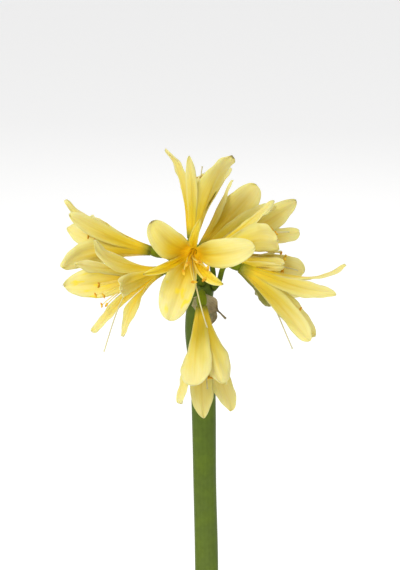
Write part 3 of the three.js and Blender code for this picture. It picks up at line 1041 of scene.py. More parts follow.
@dataclass(frozen=True)
class LeafFinish:
    """Dark, leathery strap leaf with long parallel veins and a pale foot."""

    dark: Colour = (0.018, 0.075, 0.016)
    light: Colour = (0.055, 0.16, 0.030)
    foot: Colour = (0.30, 0.38, 0.12)
    edge: Colour = (0.10, 0.18, 0.045)

    def dress(self) -> bpy.types.Material:
        """Make the material.

        Returns:
            The material.
        """
        sh = Shader("leaf")
        s, u, under = sh.stamped("blade")
        seed, age, _ = sh.stamped("trait")
        where = sh.place()
        cloud = sh.noise(where, 22.0, 4.0, 0.6)
        grain = sh.noise(sh.point(s * 3.0, u * 9.0, seed * 5.0), 6.0, 4.0, 0.6)
        wander = (sh.noise(sh.point(s * 2.0, u, seed), 2.0, 1.0) - 0.5) * 1.2
        vein = ((u * 62.0 + wander).sine() * 0.5 + 0.5) ** 2.0
        fine = (u * 170.0 + wander * 2.0).sine() * 0.5 + 0.5
        colour = sh.blend(cloud.step(0.3, 0.75) * 0.55 + grain * 0.25, self.dark, self.light)
        colour = sh.blend(vein * 0.35 + fine * 0.10, colour, self.light)
        colour = sh.blend(abs(u).step(0.09, 0.0) * 0.55, colour, (0.09, 0.20, 0.04))
        colour = sh.blend(abs(u).step(0.93, 1.0) * 0.5, colour, self.edge)
        colour = sh.blend(under * 0.35, colour, (0.10, 0.20, 0.06))
        colour = sh.blend((s + (cloud - 0.5) * 0.10).step(0.20, 0.0) * 0.8, colour, self.foot)
        dry = (s + (grain - 0.5) * 0.05).step(0.955, 0.995) * age
        colour = sh.blend(dry, colour, (0.24, 0.14, 0.05))
        dust = sh.noise(where, 240.0, 3.0).step(0.52, 0.72)
        colour = sh.blend(dust * 0.07, colour, (0.45, 0.47, 0.38))
        return sh.finish(
            Base_Color=colour,
            Roughness=grain * 0.14 + dust * 0.12 + 0.27,
            Specular_IOR_Level=0.5,
            Coat_Weight=0.12,
            Coat_Roughness=0.28,
            Subsurface_Weight=0.05,
            Subsurface_Radius=(0.001, 0.002, 0.0005),
            Subsurface_Scale=1.0,
            Normal=sh.bump(vein * 0.5 + fine * 0.35 + grain * 0.5, 0.35, 0.0007),
        )


@dataclass(frozen=True)
class ClayFinish:
    """Fired clay, dusty, with damp and chalky bloom low on the wall and turning lines."""

    clay: Colour = (0.52, 0.215, 0.105)
    pale: Colour = (0.66, 0.36, 0.22)
    damp: Colour = (0.30, 0.12, 0.060)
    chalk: Colour = (0.70, 0.62, 0.53)

    def dress(self) -> bpy.types.Material:
        """Make the material.

        Returns:
            The material.
        """
        sh = Shader("terracotta")
        where = sh.place()
        _, _, z = sh.parts(where)
        cloud = sh.noise(where, 14.0, 5.0, 0.6)
        speck = sh.noise(where, 420.0, 3.0, 0.7)
        turned = sh.noise(sh.place((3.0, 3.0, 260.0)), 1.0, 3.0, 0.6)
        colour = sh.blend(cloud.step(0.30, 0.72), self.clay, self.pale)
        colour = sh.blend((z + (cloud - 0.5) * 0.10).step(0.075, 0.0) * 0.65, colour, self.damp)
        bloom = sh.noise(where, 26.0, 6.0, 0.7).step(0.55, 0.72) * (z + (cloud - 0.5) * 0.12).step(0.13, 0.02)
        rim = (z + (cloud - 0.5) * 0.02).step(0.138, 0.150) * sh.noise(where, 38.0, 5.0, 0.7).step(0.45, 0.7)
        colour = sh.blend(bloom * 0.55 + rim * 0.5, colour, self.chalk)
        colour = sh.blend(speck.step(0.62, 0.75) * 0.30, colour, (0.34, 0.14, 0.08))
        colour = sh.blend(turned.step(0.45, 0.7) * 0.16, colour, (0.72, 0.42, 0.28))
        relief = turned * 0.8 + speck * 0.5 + bloom * 0.3
        return sh.finish(
            Base_Color=colour,
            Roughness=cloud * 0.12 + 0.78,
            Specular_IOR_Level=0.25,
            Normal=sh.bump(relief, 0.35, 0.0008),
        )


@dataclass(frozen=True)
class LooseFinish:
    """Soil, bark or another loose bit of the potting mix."""

    name: str
    dark: Colour
    light: Colour
    grain: float = 180.0

    def dress(self) -> bpy.types.Material:
        """Make the material.

        Returns:
            The material.
        """
        sh = Shader(self.name)
        where = sh.place()
        cloud = sh.noise(where, self.grain, 5.0, 0.7)
        patch = sh.noise(where, self.grain / 9.0, 3.0, 0.6)
        colour = sh.blend(cloud.step(0.38, 0.68), self.dark, self.light)
        colour = sh.blend(patch.step(0.40, 0.70) * 0.5, colour, self.dark)
        return sh.finish(
            Base_Color=colour,
            Roughness=cloud * 0.14 + 0.80,
            Specular_IOR_Level=0.2,
            Normal=sh.bump(cloud, 0.8, 0.0012),
        )


@dataclass(frozen=True)
class FloorFinish:
    """A plain pale floor."""

    shade: Colour = (0.94, 0.94, 0.94)
    glow_strength: float = 0.24

    def dress(self) -> bpy.types.Material:
        """Make the material.

        Returns:
            The material.
        """
        sh = Shader("floor")
        haze = sh.noise(sh.place(), 1.5, 2.0)
        colour = sh.blend(haze * 0.05, self.shade, (0.9, 0.9, 0.9))
        return sh.finish(
            Base_Color=colour,
            Roughness=0.75,
            Specular_IOR_Level=0.1,
            Emission_Color=self.shade,
            Emission_Strength=self.glow_strength,
        )


# ---------------------------------------------------------------- florets


@dataclass
class Blossom:
    """Builds the pieces of every floret: tepals, stamens, style and stalk."""

    claw_width: float = 0.0046
    blade_depth: float = 0.0009
    claw_depth: float = 0.0013
    throat_radius: float = 0.0026
    receptacle: float = 0.0016
    gap: float = 0.0003
    stamen_spread: float = math.radians(9)
    filament_radius: float = 0.0006
    ring_height: float = 0.005
    ring_radius: float = 0.00175
    anther_length: float = 0.0044
    style_radius: float = 0.0005
    stalk_radius: float = 0.0019
    ovary_radius: float = 0.0036
    ovary_length: float = 0.011
    seed: int = 11

    def model(self) -> None:
        """Model the patterns that the florets are laid from, and their finishes."""
        self.chance = random.Random(self.seed)
        self.blade = Blank("tepal_blank", rows=30, columns=12, crowding=1.45)
        self.thread = Rod("filament_blank", rows=12, columns=7)
        self.cord = Rod("style_blank", rows=28, columns=8)
        self.trunk = Rod("stalk_blank", rows=30, columns=18)
        for pattern in (self.blade, self.thread, self.cord, self.trunk):
            pattern.model()
        self.anther = self.model_anther()
        self.petal = PetalFinish().dress()
        self.filament = SoftPartFinish("filament", (0.92, 0.62, 0.030), (0.80, 0.66, 0.18)).dress()
        self.pollen = SoftPartFinish(
            "anther",
            start=(0.66, 0.30, 0.010),
            end=(0.84, 0.50, 0.04),
            turn=(0.3, 0.7),
            roughness=0.8,
            grain=1500.0,
            relief=0.9,
        ).dress()
        self.cream = SoftPartFinish("style", (0.66, 0.56, 0.16), (0.60, 0.56, 0.32), (0.1, 0.8)).dress()
        self.green = SoftPartFinish(
            "stalk",
            start=(0.080, 0.120, 0.006),
            end=(0.150, 0.195, 0.006),
            turn=(0.1, 0.9),
            roughness=0.48,
            grain=500.0,
            relief=0.3,
            ribs=12.0,
            glow=0.06,
            gloss=0.07,
        ).dress()

    def model_anther(self) -> bpy.types.Object:
        """Model an anther: two long lobes with a furrow between them.

        Returns:
            The anther, one unit long.
        """
        Bench.clear()
        bpy.ops.mesh.primitive_uv_sphere_add(segments=14, ring_count=10, radius=1.0, location=(0, 0, 0))
        anther = bpy.context.object
        bpy.ops.object.mode_set(mode="EDIT")
        bpy.ops.mesh.select_all(action="SELECT")
        bpy.ops.transform.resize(value=(0.20, 0.17, 0.5))
        Bench.pick(anther, lambda co: abs(co.x) < 0.03 and abs(co.z) < 0.46)
        bpy.ops.transform.resize(value=(1.0, 0.45, 1.0))
        Bench.pick(anther, lambda co: abs(co.z) < 0.40)
        bpy.ops.transform.resize(value=(1.12, 1.0, 1.05))
        bpy.ops.object.mode_set(mode="OBJECT")
        Bench.recalculate(anther)
        return anther

    def throat(self, floret: Floret) -> list[np.ndarray]:
        """Find the directions of the tepals' feet from a floret's axis, turned to meet its tips best.

        Args:
            floret: the floret.

        Returns:
            The six directions.
        """
        axis = aimed(floret.axis)
        level = squared_to(np.array([0.3, 0.2, 1.0]), axis)
        square = np.cross(axis, level)
        sine = cosine = 0.0
        for k, tepal in enumerate(floret.tepals):
            tip = aimed(tepal.aim)
            angle = math.atan2(float(tip @ square), float(tip @ level)) - k * math.pi / 3
            sine += math.sin(angle)
            cosine += math.cos(angle)
        first = math.atan2(sine, cosine)
        angles = [first + k * math.pi / 3 for k in range(6)]
        return [level * math.cos(a) + square * math.sin(a) for a in angles]

    def tepal(self, floret: Floret, k: int, outward: np.ndarray) -> bpy.types.Object:
        """Lay one tepal of a floret along its midrib.

        Args:
            floret: the floret.
            k: which of its tepals.
            outward: the direction of the tepal's foot from the axis.

        Returns:
            The tepal, dressed.
        """
        tepal = floret.tepals[k]
        inner = bool(k % 2)
        axis = aimed(floret.axis)
        place = np.array(floret.place)
        reach = tepal.length
        tip = place + aimed(tepal.aim) * reach
        start = place + outward * self.throat_radius + axis * (self.gap + self.receptacle * 0.4)
        lean = start + axis * reach * 0.3 + outward * reach * 0.06
        chord = unit(tip - lean)
        away = squared_to(squared_to(tip - place, axis), chord)
        curl = math.radians(tepal.curl)
        end = chord * math.cos(curl) + away * math.sin(curl)
        spine = Spine(bezier(start, lean, tip - end * reach * 0.3, tip), np.cross(axis, outward))

        width = (Whorl.INNER if inner else Whorl.OUTER).value * tepal.width
        s, u, z = self.blade.points().T
        edge = np.abs(u)
        swell = smooth(-0.04 - 0.10 * tepal.full, 0.66 + 0.16 * tepal.full, s)
        fullness = (2.3, 0.46) if inner else (1.9, 0.56)
        blunt = 0.60 + 0.24 * tepal.full
        late = np.clip((s - blunt) / (1.0 - blunt), 0.0, 1.0)
        outline = np.maximum(1.0 - late ** fullness[0], 0.0) ** fullness[1]
        half = (self.claw_width + (width - self.claw_width) * swell) / 2 * np.maximum(outline, 0.05)
        depth = self.claw_depth + (self.blade_depth - self.claw_depth) * swell
        depth = depth * (1.0 - 0.72 * edge**1.6) * (0.35 + 0.65 * np.maximum(outline, 0.0) ** 0.5)

        phase = self.chance.uniform(0.0, 6.28)
        beat = self.chance.uniform(2.0, 3.2)
        half = half * (1.0 + 0.07 * np.sin(phase) * np.sign(u) * swell)
        wave = np.sin(beat * 6.28 * s + phase + 1.1 * np.sign(u)) + 0.5 * np.sin(beat * 14.1 * s - phase * u)
        ruffle = wave * edge**2.6 * smooth(0.30, 0.75, s) * width * 0.045
        offset = spine.centre(s) - place
        round_axis = np.linalg.norm(offset - (offset @ axis)[:, None] * axis, axis=1)
        wrap = np.minimum(half**2 / (2.0 * np.maximum(round_axis, self.throat_radius)), 0.42 * half)
        cup = -wrap * (1.0 - 0.62 * smooth(0.35, 0.85, s)) * edge**2
        keel = 0.0005 * np.exp(-((u / 0.13) ** 2)) * (1.0 - 0.4 * s)
        pleat = 0.00028 * np.cos(8.5 * u + 0.8 * np.sin(phase)) * smooth(0.05, 0.4, s) * (1.0 - 0.5 * edge)
        dimple = pleat + 0.0005 * np.sin(6.28 * (1.7 * s + 0.8 * u) + phase) * swell
        nod = 0.0012 * np.exp(-(((s - 1.0) / 0.03) ** 2)) * (-1.0 if inner else -0.6)
        out = z * depth / 2 + ruffle + cup + keel + dimple + nod
        turn = math.radians(tepal.twist) * swell
        places = from_head(spine.lay(s, u * half, out, turn))
        piece = self.blade.copy(f"{floret.name}_tepal_{k + 1}", places)
        stamp(piece, "blade", np.stack([s, u, (z > 0).astype(float)], axis=1))
        stamp(piece, "trait", np.array([self.chance.random(), tepal.gold, 0.0]))
        # The third part is how far the dark olive painted shade covers the tepal.
        stamp(piece, "stain", np.array([tepal.tip, tepal.spots, tepal.green]))
        piece.data.materials.append(self.petal)
        return piece

    def perianth(self, floret: Floret) -> None:
        """Build a floret's six tepals on their receptacle.

        Args:
            floret: the floret.
        """
        axis = aimed(floret.axis)
        foot = np.array(floret.place) + axis * self.gap
        line = bezier(foot, foot + axis * 0.001, foot + axis * 0.0026)
        cup = Spine(line, squared_to(np.array([0, 0, 1.0]), axis))
        s, x, y = self.cord.points().T
        radius = self.throat_radius + 0.0004 + 0.0002 * s
        base = self.cord.copy("receptacle", from_head(cup.lay(s, x * radius, y * radius)))
        stamp(base, "blade", np.stack([s * 0.03, 0 * s, (np.hypot(x, y) > 0.9).astype(float)], axis=1))
        stamp(base, "trait", np.array([0.5, 0.0, 0.0]))
        stamp(base, "stain", np.zeros(3))
        base.data.materials.append(self.petal)
        parts = [base]
        for k, outward in enumerate(self.throat(floret)):
            parts.append(self.tepal(floret, k, outward))
        whole = Bench.join(parts, f"{floret.name}_petals")
        Bench.settle(whole)
        Bench.hand_in(whole, f"{floret.name}_floret_tepals", "petal")

    def stamens(self, floret: Floret) -> None:
        """Build a floret's six filaments with their anthers, on a low ring.

        Args:
            floret: the floret.
        """
        axis = aimed(floret.axis)
        middle_aim = aimed(floret.stamens.aim)
        foot = np.array(floret.place) + axis * self.ring_height
        s, x, y = self.thread.points().T
        parts = []
        for outward in self.throat(floret):
            sway = np.array([self.chance.uniform(-1, 1) for _ in range(3)]) * 0.0012
            start = foot + outward * self.ring_radius - axis * 0.001
            lean = middle_aim * math.cos(self.stamen_spread) + outward * math.sin(self.stamen_spread)
            reach = floret.stamens.length - self.ring_height + self.chance.uniform(-0.003, 0.001)
            tip = start + lean * reach + sway
            middle = start + axis * floret.stamens.length * 0.5
            across = np.cross(axis, outward)
            spine = Spine(bezier(start, middle, tip), across)
            radius = self.filament_radius * (1.0 - 0.45 * s)
            thread = self.thread.copy("filament", from_head(spine.lay(s, x * radius, y * radius)))
            stamp(thread, "blade", np.stack([s, np.arctan2(y, x), 0 * s], axis=1))
            thread.data.materials.append(self.filament)
            parts.append(thread)
            parts.append(self.lay_anther(tip, unit(across + 0.5 * sway / 0.0012), axis))
        whole = Bench.join(parts, f"{floret.name}_stamens")
        Bench.settle(whole)
        Bench.hand_in(whole, f"{floret.name}_floret_stamens", "stamen")

    def lay_anther(self, at: np.ndarray, along: np.ndarray, axis: np.ndarray) -> bpy.types.Object:
        """Lay an anther across the end of a filament.

        Args:
            at: its middle, in the head's frame.
            along: the direction of its length.
            axis: the direction that the filament comes in.

        Returns:
            The anther, dressed.
        """
        back = squared_to(axis, along)
        side = np.cross(back, along)
        mesh = self.anther.data.copy()
        flat = np.zeros(len(mesh.vertices) * 3, np.float32)
        mesh.vertices.foreach_get("co", flat)
        local = flat.reshape(-1, 3).astype(float)
        bow = 0.10 * (local[:, 2] * 2.0) ** 2
        scaled = local * self.anther_length
        places = (
            at
            + scaled[:, :1] * side
            + (scaled[:, 1:2] + bow[:, None] * self.anther_length) * back
            + scaled[:, 2:] * along
        )
        mesh.vertices.foreach_set("co", np.asarray(from_head(places), np.float32).ravel())
        mesh.update()
        piece = bpy.data.objects.new("anther", mesh)
        bpy.context.scene.collection.objects.link(piece)
        stamp(piece, "blade", np.stack([local[:, 2] + 0.5, local[:, 0] * 5, 0 * bow], axis=1))
        mesh.materials.append(self.pollen)
        return piece

    def style(self, floret: Floret) -> None:
        """Build a floret's style with its three-lobed stigma.

        Args:
            floret: the floret.
        """
        axis = aimed(floret.axis)
        style = floret.style
        start = np.array(floret.place) + axis * (3 * self.gap + self.receptacle)
        aim = aimed(style.aim)
        tip = start + aim * style.length
        rise = np.array([0.0, style.droop, 0.0])
        line = bezier(start, start + axis * style.length * 0.35, tip - aim * style.length * 0.3 + rise, tip)
        spine = Spine(line, squared_to(np.array([0.0, 0.0, 1.0]), axis))
        s, x, y = self.cord.points().T
        radius = self.style_radius * (1.15 - 0.35 * s)
        rod = self.cord.copy("style", from_head(spine.lay(s, x * radius, y * radius)))
        stamp(rod, "blade", np.stack([s, np.arctan2(y, x), 0 * s], axis=1))
        parts = [rod]
        end = spine.alongs[-1]
        side = spine.sides[-1]
        for k in range(3):
            turn = 2.0 * math.pi * k / 3
            splay = side * math.cos(turn) + np.cross(end, side) * math.sin(turn)
            lobe_line = bezier(tip - end * 0.0006, tip + end * 0.0006, tip + end * 0.0011 + splay * 0.0009)
            lobe = Spine(lobe_line, np.cross(end, splay))
            s2, x2, y2 = self.thread.points().T
            fine = 0.0003 * np.sqrt(np.clip(1.02 - s2**3, 0.0, 1.0))
            part = self.thread.copy("stigma", from_head(lobe.lay(s2, x2 * fine, y2 * fine)))
            stamp(part, "blade", np.stack([0 * s2 + 1, np.arctan2(y2, x2), 0 * s2], axis=1))
            parts.append(part)
        for part in parts:
            part.data.materials.append(self.cream)
        whole = Bench.join(parts, f"{floret.name}_style")
        Bench.settle(whole)
        Bench.hand_in(whole, f"{floret.name}_floret_style", "style")

    def stalk(self, floret: Floret) -> None:
        """Build a floret's stalk, which swells into a three-lobed ovary below the tepals.

        Args:
            floret: the floret.
        """
        axis = aimed(floret.axis)
        end = np.array(floret.place)
        out = aimed(floret.foot)
        start = out * (KNOB_RADIUS - 0.0004)
        span = float(np.linalg.norm(end - axis * self.ovary_length - start))
        line = bezier(
            start,
            start + out * span * 0.4,
            end - axis * (self.ovary_length + span * 0.35),
            end + axis * 0.0004,
        )
        spine = Spine(line, squared_to(np.array([0.0, 0.0, 1.0]), out))
        s, x, y = self.trunk.points().T
        theta = np.arctan2(y, x)
        rest = (1.0 - s) * spine.length
        bulge = np.sin(np.pi * (rest / self.ovary_length + 0.34) / 1.34)
        swell = np.maximum(np.where(rest < self.ovary_length, bulge, 0.0), 0.0)
        flare = 0.0011 * np.exp(-((s * spine.length / 0.0016) ** 2))
        radius = self.stalk_radius + (self.ovary_radius - self.stalk_radius) * swell + flare
        radius = radius * (1.0 + 0.055 * swell * np.cos(3 * theta) + 0.012 * np.cos(7 * theta + 9 * s))
        away = np.hypot(x, y) * radius
        places = from_head(spine.lay(s, np.cos(theta) * away, np.sin(theta) * away))
        piece = self.trunk.copy(f"{floret.name}_stalk", places)
        stamp(piece, "blade", np.stack([s, theta, 0 * s], axis=1))
        piece.data.materials.append(self.green)
        Bench.settle(piece)
        Bench.hand_in(piece, f"{floret.name}_floret_stalk", "stalk")

    def build(self) -> None:
        """Build every floret."""
        self.model()
        for floret in FLORETS:
            self.perianth(floret)
            self.stamens(floret)
            self.style(floret)
            self.stalk(floret)
        for pattern in (self.blade.shell, self.thread.shell, self.cord.shell, self.trunk.shell, self.anther):
            Bench.drop(pattern)


# ---------------------------------------------------------------- stem and bracts


@dataclass(frozen=True)
class Bract:
    """A papery bract: where it leaves the knob, where it points, and its size and turn."""

    name: str
    foot: Aim
    aim: Aim
    length: float
    width: float
    turn: float


BRACTS: tuple[Bract, ...] = (
    Bract("right_bract", (-139, 44), (-16, 2), 0.026, 0.013, 90),
    Bract("left_bract", (-152, 12), (-162, -10), 0.015, 0.010, -30),
    Bract("back_bract", (-90, -66), (-80, -40), 0.034, 0.015, 0),
)


@dataclass
class Stem:
    """The flattened flower stem and the dry bracts below the stalks."""

    width: float = 0.017
    depth: float = 0.012
    bend: float = -0.004
    neck: float = 0.0805
    bend_drop: float = 0.0357
    bract_start: float = 0.012
    bract_depth: float = 0.0006
    seed: int = 5

    def build(self) -> None:
        """Build the stem and its bracts."""
        self.build_stem()
        self.build_bracts()

    def build_stem(self) -> None:
        """Build the stem: an oval rod with two blunt edges and a rounded end."""
        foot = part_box("flower_stem")[0].z
        length = STEM_TOP - foot
        line = threaded(
            [
                np.array([0.0, 0.0, foot]),
                np.array([0.003, 0.003, foot + 0.4 * length]),
                np.array([0.0014, 0.0025, STEM_TOP - 2.0 * self.neck]),
                np.array([0.0, 0.002, STEM_TOP - self.neck]),
                np.array([self.bend, 0.0, STEM_TOP - self.bend_drop]),
                np.array([0.0, 0.0, STEM_TOP]),
            ]
        )
        pattern = Rod("stem_blank", rows=72, columns=30)
        pattern.model()
        t, x, y = pattern.points().T
        s = 1.0 - (1.0 - t) ** 2.0
        theta = np.arctan2(y, x)
        rest = (1.0 - s) * length
        dome = np.sqrt(np.maximum(0.0, 1.0 - np.maximum(0.0, 1.0 - rest / KNOB_RADIUS) ** 2))
        dome = np.maximum(dome, 0.05)
        ridge = 1.0 + 0.035 * np.exp(-((np.sin(theta) / 0.22) ** 2)) + 0.010 * np.sin(9 * theta + 3 * s)
        sag = 1.0 + 0.02 * np.sin(17 * s) + 0.06 * np.exp(-((s / 0.03) ** 2))
        away = np.hypot(x, y) * dome * ridge * sag
        wide = np.cos(theta) * away * self.width / 2
        out = np.sin(theta) * away * (self.depth + 0.002 * smooth(0.9, 1.0, s)) / 2
        spine = Spine(line, np.array([1.0, 0.0, 0.0]))
        stem = pattern.copy("flower_scape", spine.lay(s, wide, out))
        stamp(stem, "blade", np.stack([s, theta, 0 * s], axis=1))
        finish = SoftPartFinish(
            "scape",
            start=(0.140, 0.190, 0.036),
            end=(0.080, 0.125, 0.012),
            turn=(0.0, 0.9),
            roughness=0.46,
            grain=260.0,
            relief=0.35,
            ribs=16.0,
            glow=0.05,
            gloss=0.12,
        )
        stem.data.materials.append(finish.dress())
        Bench.settle(stem)
        Bench.hand_in(stem, "flower_stem", "stem")
        Bench.drop(pattern.shell)

    def build_bracts(self) -> None:
        """Build the bracts: thin, creased and a little ragged."""
        pattern = Blank("bract_blank", rows=22, columns=10, crowding=1.2)
        pattern.model()
        finish = BractFinish().dress()
        chance = random.Random(self.seed)
        for bract in BRACTS:
            out = aimed(bract.aim)
            start = aimed(bract.foot) * self.bract_start
            sag = np.array([0.0, -0.3 * bract.length, 0.0])
            line = bezier(start, start + out * bract.length * 0.5, start + out * bract.length * 0.9 + sag)
            spine = Spine(line, np.cross(np.array([0.0, 1.0, 0.0]), out))
            s, u, z = pattern.points().T
            phase = chance.uniform(0.0, 6.28)
            edge = np.abs(u)
            body = np.sin(np.pi * np.minimum(1.0, 0.16 + s * 1.12)) * (1.0 - smooth(0.55, 0.78, s))
            half = bract.width / 2 * (1.15 * body + 0.14 - 0.09 * s)
            half = half * (1.0 + 0.06 * np.sin(19 * s + phase) * edge)
            crease = 0.0008 * np.sin(4 * u + 5 * s + phase) + 0.0004 * np.sin(13 * s * edge + phase)
            wide = u * half
            deep = z * self.bract_depth / 2 + 0.003 * (1.0 - s) * edge**2 + crease
            turn = math.radians(bract.turn) * (0.4 + s)
            piece = pattern.copy(f"dry_{bract.name}", from_head(spine.lay(s, wide, deep, turn)))
            stamp(piece, "blade", np.stack([s, u, z], axis=1))
            piece.data.materials.append(finish)
            Bench.settle(piece)
            Bench.hand_in(piece, bract.name, "bract")
        Bench.drop(pattern.shell)


# ---------------------------------------------------------------- leaves


@dataclass(frozen=True)
class Leaf:
    """One leaf of a fan, from the innermost out.

    rise and fall are its midrib's angles above the floor at the foot and at the end, and turn is its
    turn about the upright, in degrees. shift is how far it stands to one side of the fan's middle.
    """

    length: float
    rise: float
    fall: float
    turn: float
    shift: float


LEAVES: tuple[Leaf, ...] = (
    Leaf(0.205, 88, 34, 6, 0.002),
    Leaf(0.262, 86, 2, -7, -0.002),
    Leaf(0.305, 83, -24, 5, 0.001),
    Leaf(0.322, 79, -38, -4, -0.001),
    Leaf(0.306, 74, -40, 8, 0.002),
    Leaf(0.270, 66, -34, -6, -0.001),
)


@dataclass
class Fans:
    """The two fans of strap leaves, which stand either side of the stem."""

    width: float = 0.046
    foot_width: float = 0.030
    blade_depth: float = 0.0018
    foot_depth: float = 0.0042
    channel: float = 0.005
    first: float = 0.014
    pitch: float = 0.0062
    midrib_steps: int = 24
    seed: int = 23

    def midrib(self, leaf: Leaf) -> Line:
        """Draw a leaf's midrib, whose angle above the floor falls along its length.

        Args:
            leaf: the leaf.

        Returns:
            The midrib, which starts at the origin and lies in the xz plane.
        """
        count = self.midrib_steps
        points = [np.zeros(3)]
        for k in range(count):
            s = (k + 0.5) / count
            angle = math.radians(leaf.rise + (leaf.fall - leaf.rise) * s**0.85)
            step = np.array([math.cos(angle), 0.0, math.sin(angle)]) * leaf.length / count
            points.append(points[-1] + step)
        return threaded(points)

    def build(self) -> None:
        """Build the leaves of both sides."""
        pattern = Blank("leaf_blank", rows=56, columns=14, crowding=1.15)
        pattern.model()
        finish = LeafFinish().dress()
        chance = random.Random(self.seed)
        for side, heading in (("right", 0.0), ("left", 180.0)):
            for k, leaf in enumerate(LEAVES):
                self.build_leaf(pattern, finish, chance, side, heading, k, leaf)
        Bench.drop(pattern.shell)

    def build_leaf(
        self,
        pattern: Blank,
        finish: bpy.types.Material,
        chance: random.Random,
        side: str,
        heading: float,
        k: int,
        leaf: Leaf,
    ) -> None:
        """Build one leaf.

        Args:
            pattern: the blank that it is laid from.
            finish: its material.
            chance: what its small differences come from.
            side: the side of the stem that it is on.
            heading: the direction of that side, in degrees.
            k: how many leaves stand inside it.
            leaf: its sizes.
        """
        s, u, z = pattern.points().T
        edge = np.abs(u)
        swell = smooth(0.0, 0.45, s)
        late = np.clip((s - 0.72) / 0.28, 0.0, 1.0)
        taper = np.maximum(1.0 - late**2.1, 0.0) ** 0.6
        width = (self.foot_width + (self.width - self.foot_width) * swell) * np.maximum(taper, 0.02)
        depth = self.foot_depth + (self.blade_depth - self.foot_depth) * smooth(0.0, 0.3, s)
        depth = depth * (1.0 - 0.6 * edge**2) * (0.5 + 0.5 * taper)
        phase = chance.uniform(0.0, 6.28)
        ripple = 0.0012 * np.sin(5.0 * 6.28 * s + phase + np.sign(u)) * edge**3 * smooth(0.15, 0.4, s)
        keel = -0.0011 * np.exp(-((u / 0.09) ** 2)) * (1.0 - 0.6 * s)
        pleat = 0.00025 * np.cos(u * 22.0) * smooth(0.05, 0.2, s)
        out = z * depth / 2 + self.channel * width / self.width * edge**2 + ripple + keel + pleat
        bow = math.radians(chance.uniform(-7.0, 7.0)) * smooth(0.3, 1.0, s)
        spine = Spine(self.midrib(leaf), np.array([0.0, -1.0, 0.0]))
        places = spine.lay(s, u * width / 2, out, bow)
        places = places @ np.array(Matrix.Rotation(math.radians(-leaf.turn), 3, "Z"))
        places = places + [self.first + self.pitch * k, leaf.shift, SOIL_TOP + 0.0013]
        places = places @ np.array(Matrix.Rotation(math.radians(-heading), 3, "Z"))
        piece = pattern.copy(f"{side}_strap_leaf_{k + 1}", places)
        stamp(piece, "blade", np.stack([s, u, (z < 0).astype(float)], axis=1))
        stamp(piece, "trait", np.array([chance.random(), 0.15 + 0.17 * k, 0.0]))
        piece.data.materials.append(finish)
        Bench.settle(piece)
        Bench.hand_in(piece, f"{side}_leaf_{k + 1}", "leaf")


# ---------------------------------------------------------------- pot and soil


@dataclass(frozen=True)
class Litter:
    """Loose bits on the soil: how many, their least and greatest size, their form and two colours."""

    name: str
    count: int
    sizes: tuple[float, float]
    form: tuple[float, float, float]
    dark: Colour
    light: Colour


LITTER: tuple[Litter, ...] = (
    Litter(
        name="bark_chips",
        count=190,
        sizes=(0.0028, 0.0062),
        form=(1.0, 0.62, 0.34),
        dark=(0.035, 0.018, 0.009),
        light=(0.17, 0.095, 0.045),
    ),
    Litter(
        name="white_grit",
        count=90,
        sizes=(0.0010, 0.0019),
        form=(1.0, 0.9, 0.75),
        dark=(0.42, 0.40, 0.36),
        light=(0.80, 0.79, 0.75),
    ),
)


